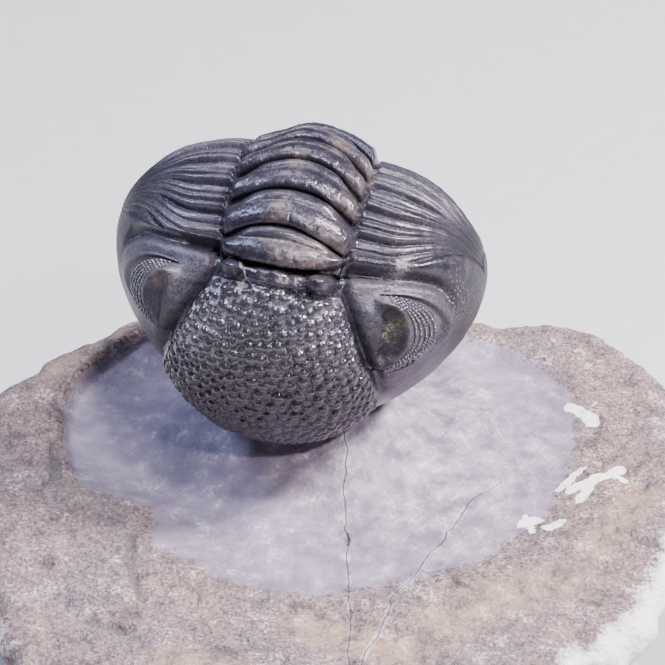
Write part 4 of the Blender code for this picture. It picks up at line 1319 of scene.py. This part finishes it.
def shell_material(grain_tree, dust_tree):
    """Near-black fossil shell: half glossy, finely pitted, dusty in its seams, with brown stain."""
    material, tree, shader = new_material("dark fossil shell")
    where = place_on(tree)
    grain = grain_in(tree, grain_tree, SHELL_GRAIN)
    broad = noise(where, 260.0, 4.0, 0.6)
    fine = noise(where, SHELL_FINE, 3.0, 0.6)
    knob = mask(tree, "knob")
    matt = mask(tree, "matt")
    crack = abs(mask(tree, "crack"))
    dots = cells(where, SHELL_GRANULES).ranged(0.12, 0.42, 1.0, 0.0) * mask(tree, "granules")
    colour = layered(broad.toned(SHELL_TONES), (
        (grain.ranged(0.4, 0.75) * 0.35, SHELL["worn"]),
        # Pale powder, partly painted light on the left pleurae and the tubercle tops.
        (mask(tree, "powder_and_painted_light") * fine.ranged(0.35, 0.65, 0.1, 0.85), SHELL["powder_and_painted_light"]),
        (grain["Pits"] * 0.8, SHELL["pits"]),
        # Painted shade laid dark over the colour.
        (mask(tree, "valley") * 0.85, SHELL["hollows"]),
        (mask(tree, "brown") * grain.ranged(0.3, 0.72) * 0.75, SHELL["stain"]),
        (mask(tree, "deposit") * fine.ranged(0.42, 0.6), SHELL["deposit"])))
    beside_crack = crack.ranged(0.04, 0.35, 1.0, 0.0) * grain.ranged(0.42, 0.62, 0.02, 0.28)
    dusted = dust_over(colour, dust_tree, SHELL["dust"], mask(tree, "dust") + beside_crack, fine)
    colour = layered(dusted, ((grain["Specks"] * broad.ranged(0.4, 0.62, 0.2, 0.8), SHELL["specks"]),
                              (dots * 0.5, SHELL["granules"]),
                              (crack.ranged(0.015, 0.05, 0.8, 0.0), SHELL["crack"])))
    feed(shader.inputs["Base Color"], colour)
    rough = grain.ranged(0.34, 0.68, 0.21, 0.31) + dusted["Cover"] * 0.35 + matt * 0.24 - knob * 0.1
    feed(shader.inputs["Roughness"], rough)
    feed(shader.inputs["Coat Weight"], knob * 0.8)
    shader.inputs["Specular IOR Level"].default_value = 0.56
    shader.inputs["Coat Roughness"].default_value = 0.1
    shader.inputs["Specular Tint"].default_value = (0.94, 0.88, 1.0, 1.0)
    first = add(tree, "ShaderNodeBump", {"Strength": 0.28, "Distance": SHELL_PIT_DEPTH,
                                         "Height": grain["Height"]})
    second = add(tree, "ShaderNodeBump", {"Strength": matt * 0.6 + 0.3, "Distance": SHELL_GRIT_DEPTH,
                                          "Height": fine + dots, "Normal": first})
    feed(shader.inputs["Normal"], second)
    return material


def scratches(where, angle, scale):
    """Fine straight tool strokes in one direction."""
    sockets = {"Vector": where, "Rotation": (0.0, 0.0, math.radians(angle)), "Scale": (1.0, 15.0, 1.5)}
    turned = add(where.tree, "ShaderNodeMapping", sockets, vector_type="TEXTURE")
    return noise(turned, scale, 2.0, 0.5).ranged(0.6, 0.7)


def rock_material(grain_tree, dust_tree):
    """Grainy grey-brown limestone, lilac and scratched where it was prepared, white where broken, with
    painted shade on the left and painted light on the pedestal's right flank.
    """
    material, tree, shader = new_material("limestone")
    where = place_on(tree)
    grain = grain_in(tree, grain_tree, ROCK_GRAIN)
    broad = noise(where, 110.0, 4.0, 0.6)
    middling = noise(where, 420.0, 5.0, 0.6)
    fine = noise(where, ROCK_FINE, 3.0, 0.65)
    prepared = mask(tree, "prepared")
    scraped_and_painted_light = mask(tree, "scraped_and_painted_light")
    crack = abs(mask(tree, "crack"))
    outer = fine.toned(ROCK_TONES).covered(1.0, middling.toned(ROCK_PATCHES), "MULTIPLY")
    outer = layered(outer.covered(1.0, broad.toned(ROCK_TINTS), "MULTIPLY"), (
        (grain["Pits"] * 0.6, ROCK["pits"]),
        (grain.ranged(0.56, 0.68) * 0.4, ROCK["flecks"]),
        (mask(tree, "ochre") * middling.ranged(0.36, 0.6, 0.15, 0.8), ROCK["ochre"])))
    # Paler clouds, more of them on the scraped spot, where they are painted light.
    clouds = middling.ranged(0.44, 0.7, 0.0, 0.35) + scraped_and_painted_light * middling.ranged(0.36, 0.56, 0.1, 0.6)
    strokes = scratches(where, *SCRATCHES[0])
    for angle, scale in SCRATCHES[1:]:
        strokes = strokes + scratches(where, angle, scale)
    strokes = strokes * middling.ranged(0.4, 0.62, 0.06, 0.55)
    strokes = strokes * scraped_and_painted_light.ranged(0.0, 0.7, 0.3, 1.0)
    smoothed = layered(broad.toned(PREPARED_TONES), (
        (clouds, ROCK["clouds"]),
        (middling.ranged(0.3, 0.44, 0.35, 0.0), ROCK["shade"]),
        (strokes, ROCK["scratches"])))
    edge = prepared + grain.ranged(0.3, 0.7, -0.3, 0.3)
    colour = outer.covered(edge.ranged(0.42, 0.56), smoothed)
    broken = mask(tree, "fresh") + middling.ranged(0.35, 0.65, -0.3, 0.2)
    white = dust_over(colour, dust_tree, ROCK["broken"], broken, fine)
    ragged = mask(tree, "calcite") + fine.ranged(0.3, 0.7, -0.25, 0.25)
    pale_edge = crack.ranged(0.05, 0.4, 1.0, 0.0) * middling.ranged(0.42, 0.6)
    line = crack.ranged(0.025, 0.085, 0.8, 0.0)
    sparkle = prepared.ranged(0.0, 1.0, 0.42, 0.1)
    feed(shader.inputs["Base Color"], layered(white, (
        (ragged.ranged(0.42, 0.6), ROCK["calcite"]),
        # Dark marks and painted shade.
        (mask(tree, "dark") * 0.7, ROCK["dark marks"]),
        (pale_edge * 0.6, ROCK["crack edges"]),
        (line, ROCK["crack"]),
        (grain["Specks"] * sparkle, ROCK["specks"]))))
    feed(shader.inputs["Roughness"], fine.ranged(0.3, 0.7, 0.62, 0.9))
    calm = prepared.ranged(0.0, 1.0, 1.3, 0.45)
    height = (grain["Height"] + middling * 2.5 + fine) * calm - line
    bump = add(tree, "ShaderNodeBump", {"Strength": 0.8, "Distance": ROCK_GRIT_DEPTH, "Height": height})
    feed(shader.inputs["Normal"], bump)
    return material


def floor_material(grain_tree):
    """Plain pale board with a trace of grain."""
    material, tree, shader = new_material("pale floor")
    feed(shader.inputs["Base Color"], grain_in(tree, grain_tree, FLOOR_GRAIN).toned(FLOOR_TONES))
    shader.inputs["Roughness"].default_value = 0.8
    return material


# Stage

def camera():
    """Camera at the photograph's angle, aimed so that the hub falls where the photograph has it."""
    tilt = math.radians(ELEVATION)
    right = Vector((1.0, 0.0, 0.0))
    up = Vector((0.0, math.sin(tilt), math.cos(tilt)))
    back = right.cross(up)
    aim = Vector(HUB) * MM
    aim += right * ((FRAME_MIDDLE - HUB_PIXEL[0]) * PIXEL) + up * ((HUB_PIXEL[1] - FRAME_MIDDLE) * PIXEL)
    data = bpy.data.cameras.new("camera")
    data.sensor_width = SENSOR_WIDTH
    data.lens = SENSOR_WIDTH * CAMERA_DISTANCE / (2.0 * FRAME_MIDDLE * PIXEL)
    data.clip_start = 0.01
    data.clip_end = 20.0
    made = bpy.data.objects.new("camera", data)
    turned = Matrix((right, up, back)).transposed().to_4x4()
    made.matrix_world = Matrix.Translation(aim + back * CAMERA_DISTANCE) @ turned
    bpy.context.scene.collection.objects.link(made)
    bpy.context.scene.camera = made


def soft_light(name, place, size, power, colour):
    """A round lamp that looks at the shell."""
    data = bpy.data.lights.new(name, "AREA")
    data.shape = "DISK"
    data.size = size
    data.energy = power
    data.color = colour
    made = bpy.data.objects.new(name, data)
    made.location = place
    made.rotation_mode = "QUATERNION"
    made.rotation_quaternion = (Vector(LIGHT_AIM) - Vector(place)).to_track_quat("-Z", "Y")
    bpy.context.scene.collection.objects.link(made)


def room_light():
    """Faint even light from all round."""
    world = bpy.data.worlds.new("studio")
    world.use_nodes = True
    background = world.node_tree.nodes["Background"]
    background.inputs["Color"].default_value = ROOM_COLOUR
    background.inputs["Strength"].default_value = ROOM_STRENGTH
    bpy.context.scene.world = world


def floor(material):
    corners = [(FLOOR_HALF * x, FLOOR_HALF * y, 0) for x, y in ((-1, -1), (1, -1), (1, 1), (-1, 1))]
    mesh = bpy.data.meshes.new("floor")
    mesh.from_pydata(corners, [], [(0, 1, 2, 3)])
    mesh.materials.append(material)
    made = bpy.data.objects.new("floor", mesh)
    bpy.context.scene.collection.objects.link(made)


def main():
    grain_tree = grain_group()
    dust_tree = dust_group()
    dark_shell = shell_material(grain_tree, dust_tree)
    warts = wart_places()
    shell_pieces(shell_grid(warts), dark_shell)
    eye_lenses(warts, dark_shell)
    rock_slab(rock_material(grain_tree, dust_tree))
    camera()
    for light in LIGHTS:
        soft_light(*light)
    room_light()
    floor(floor_material(grain_tree))


main()
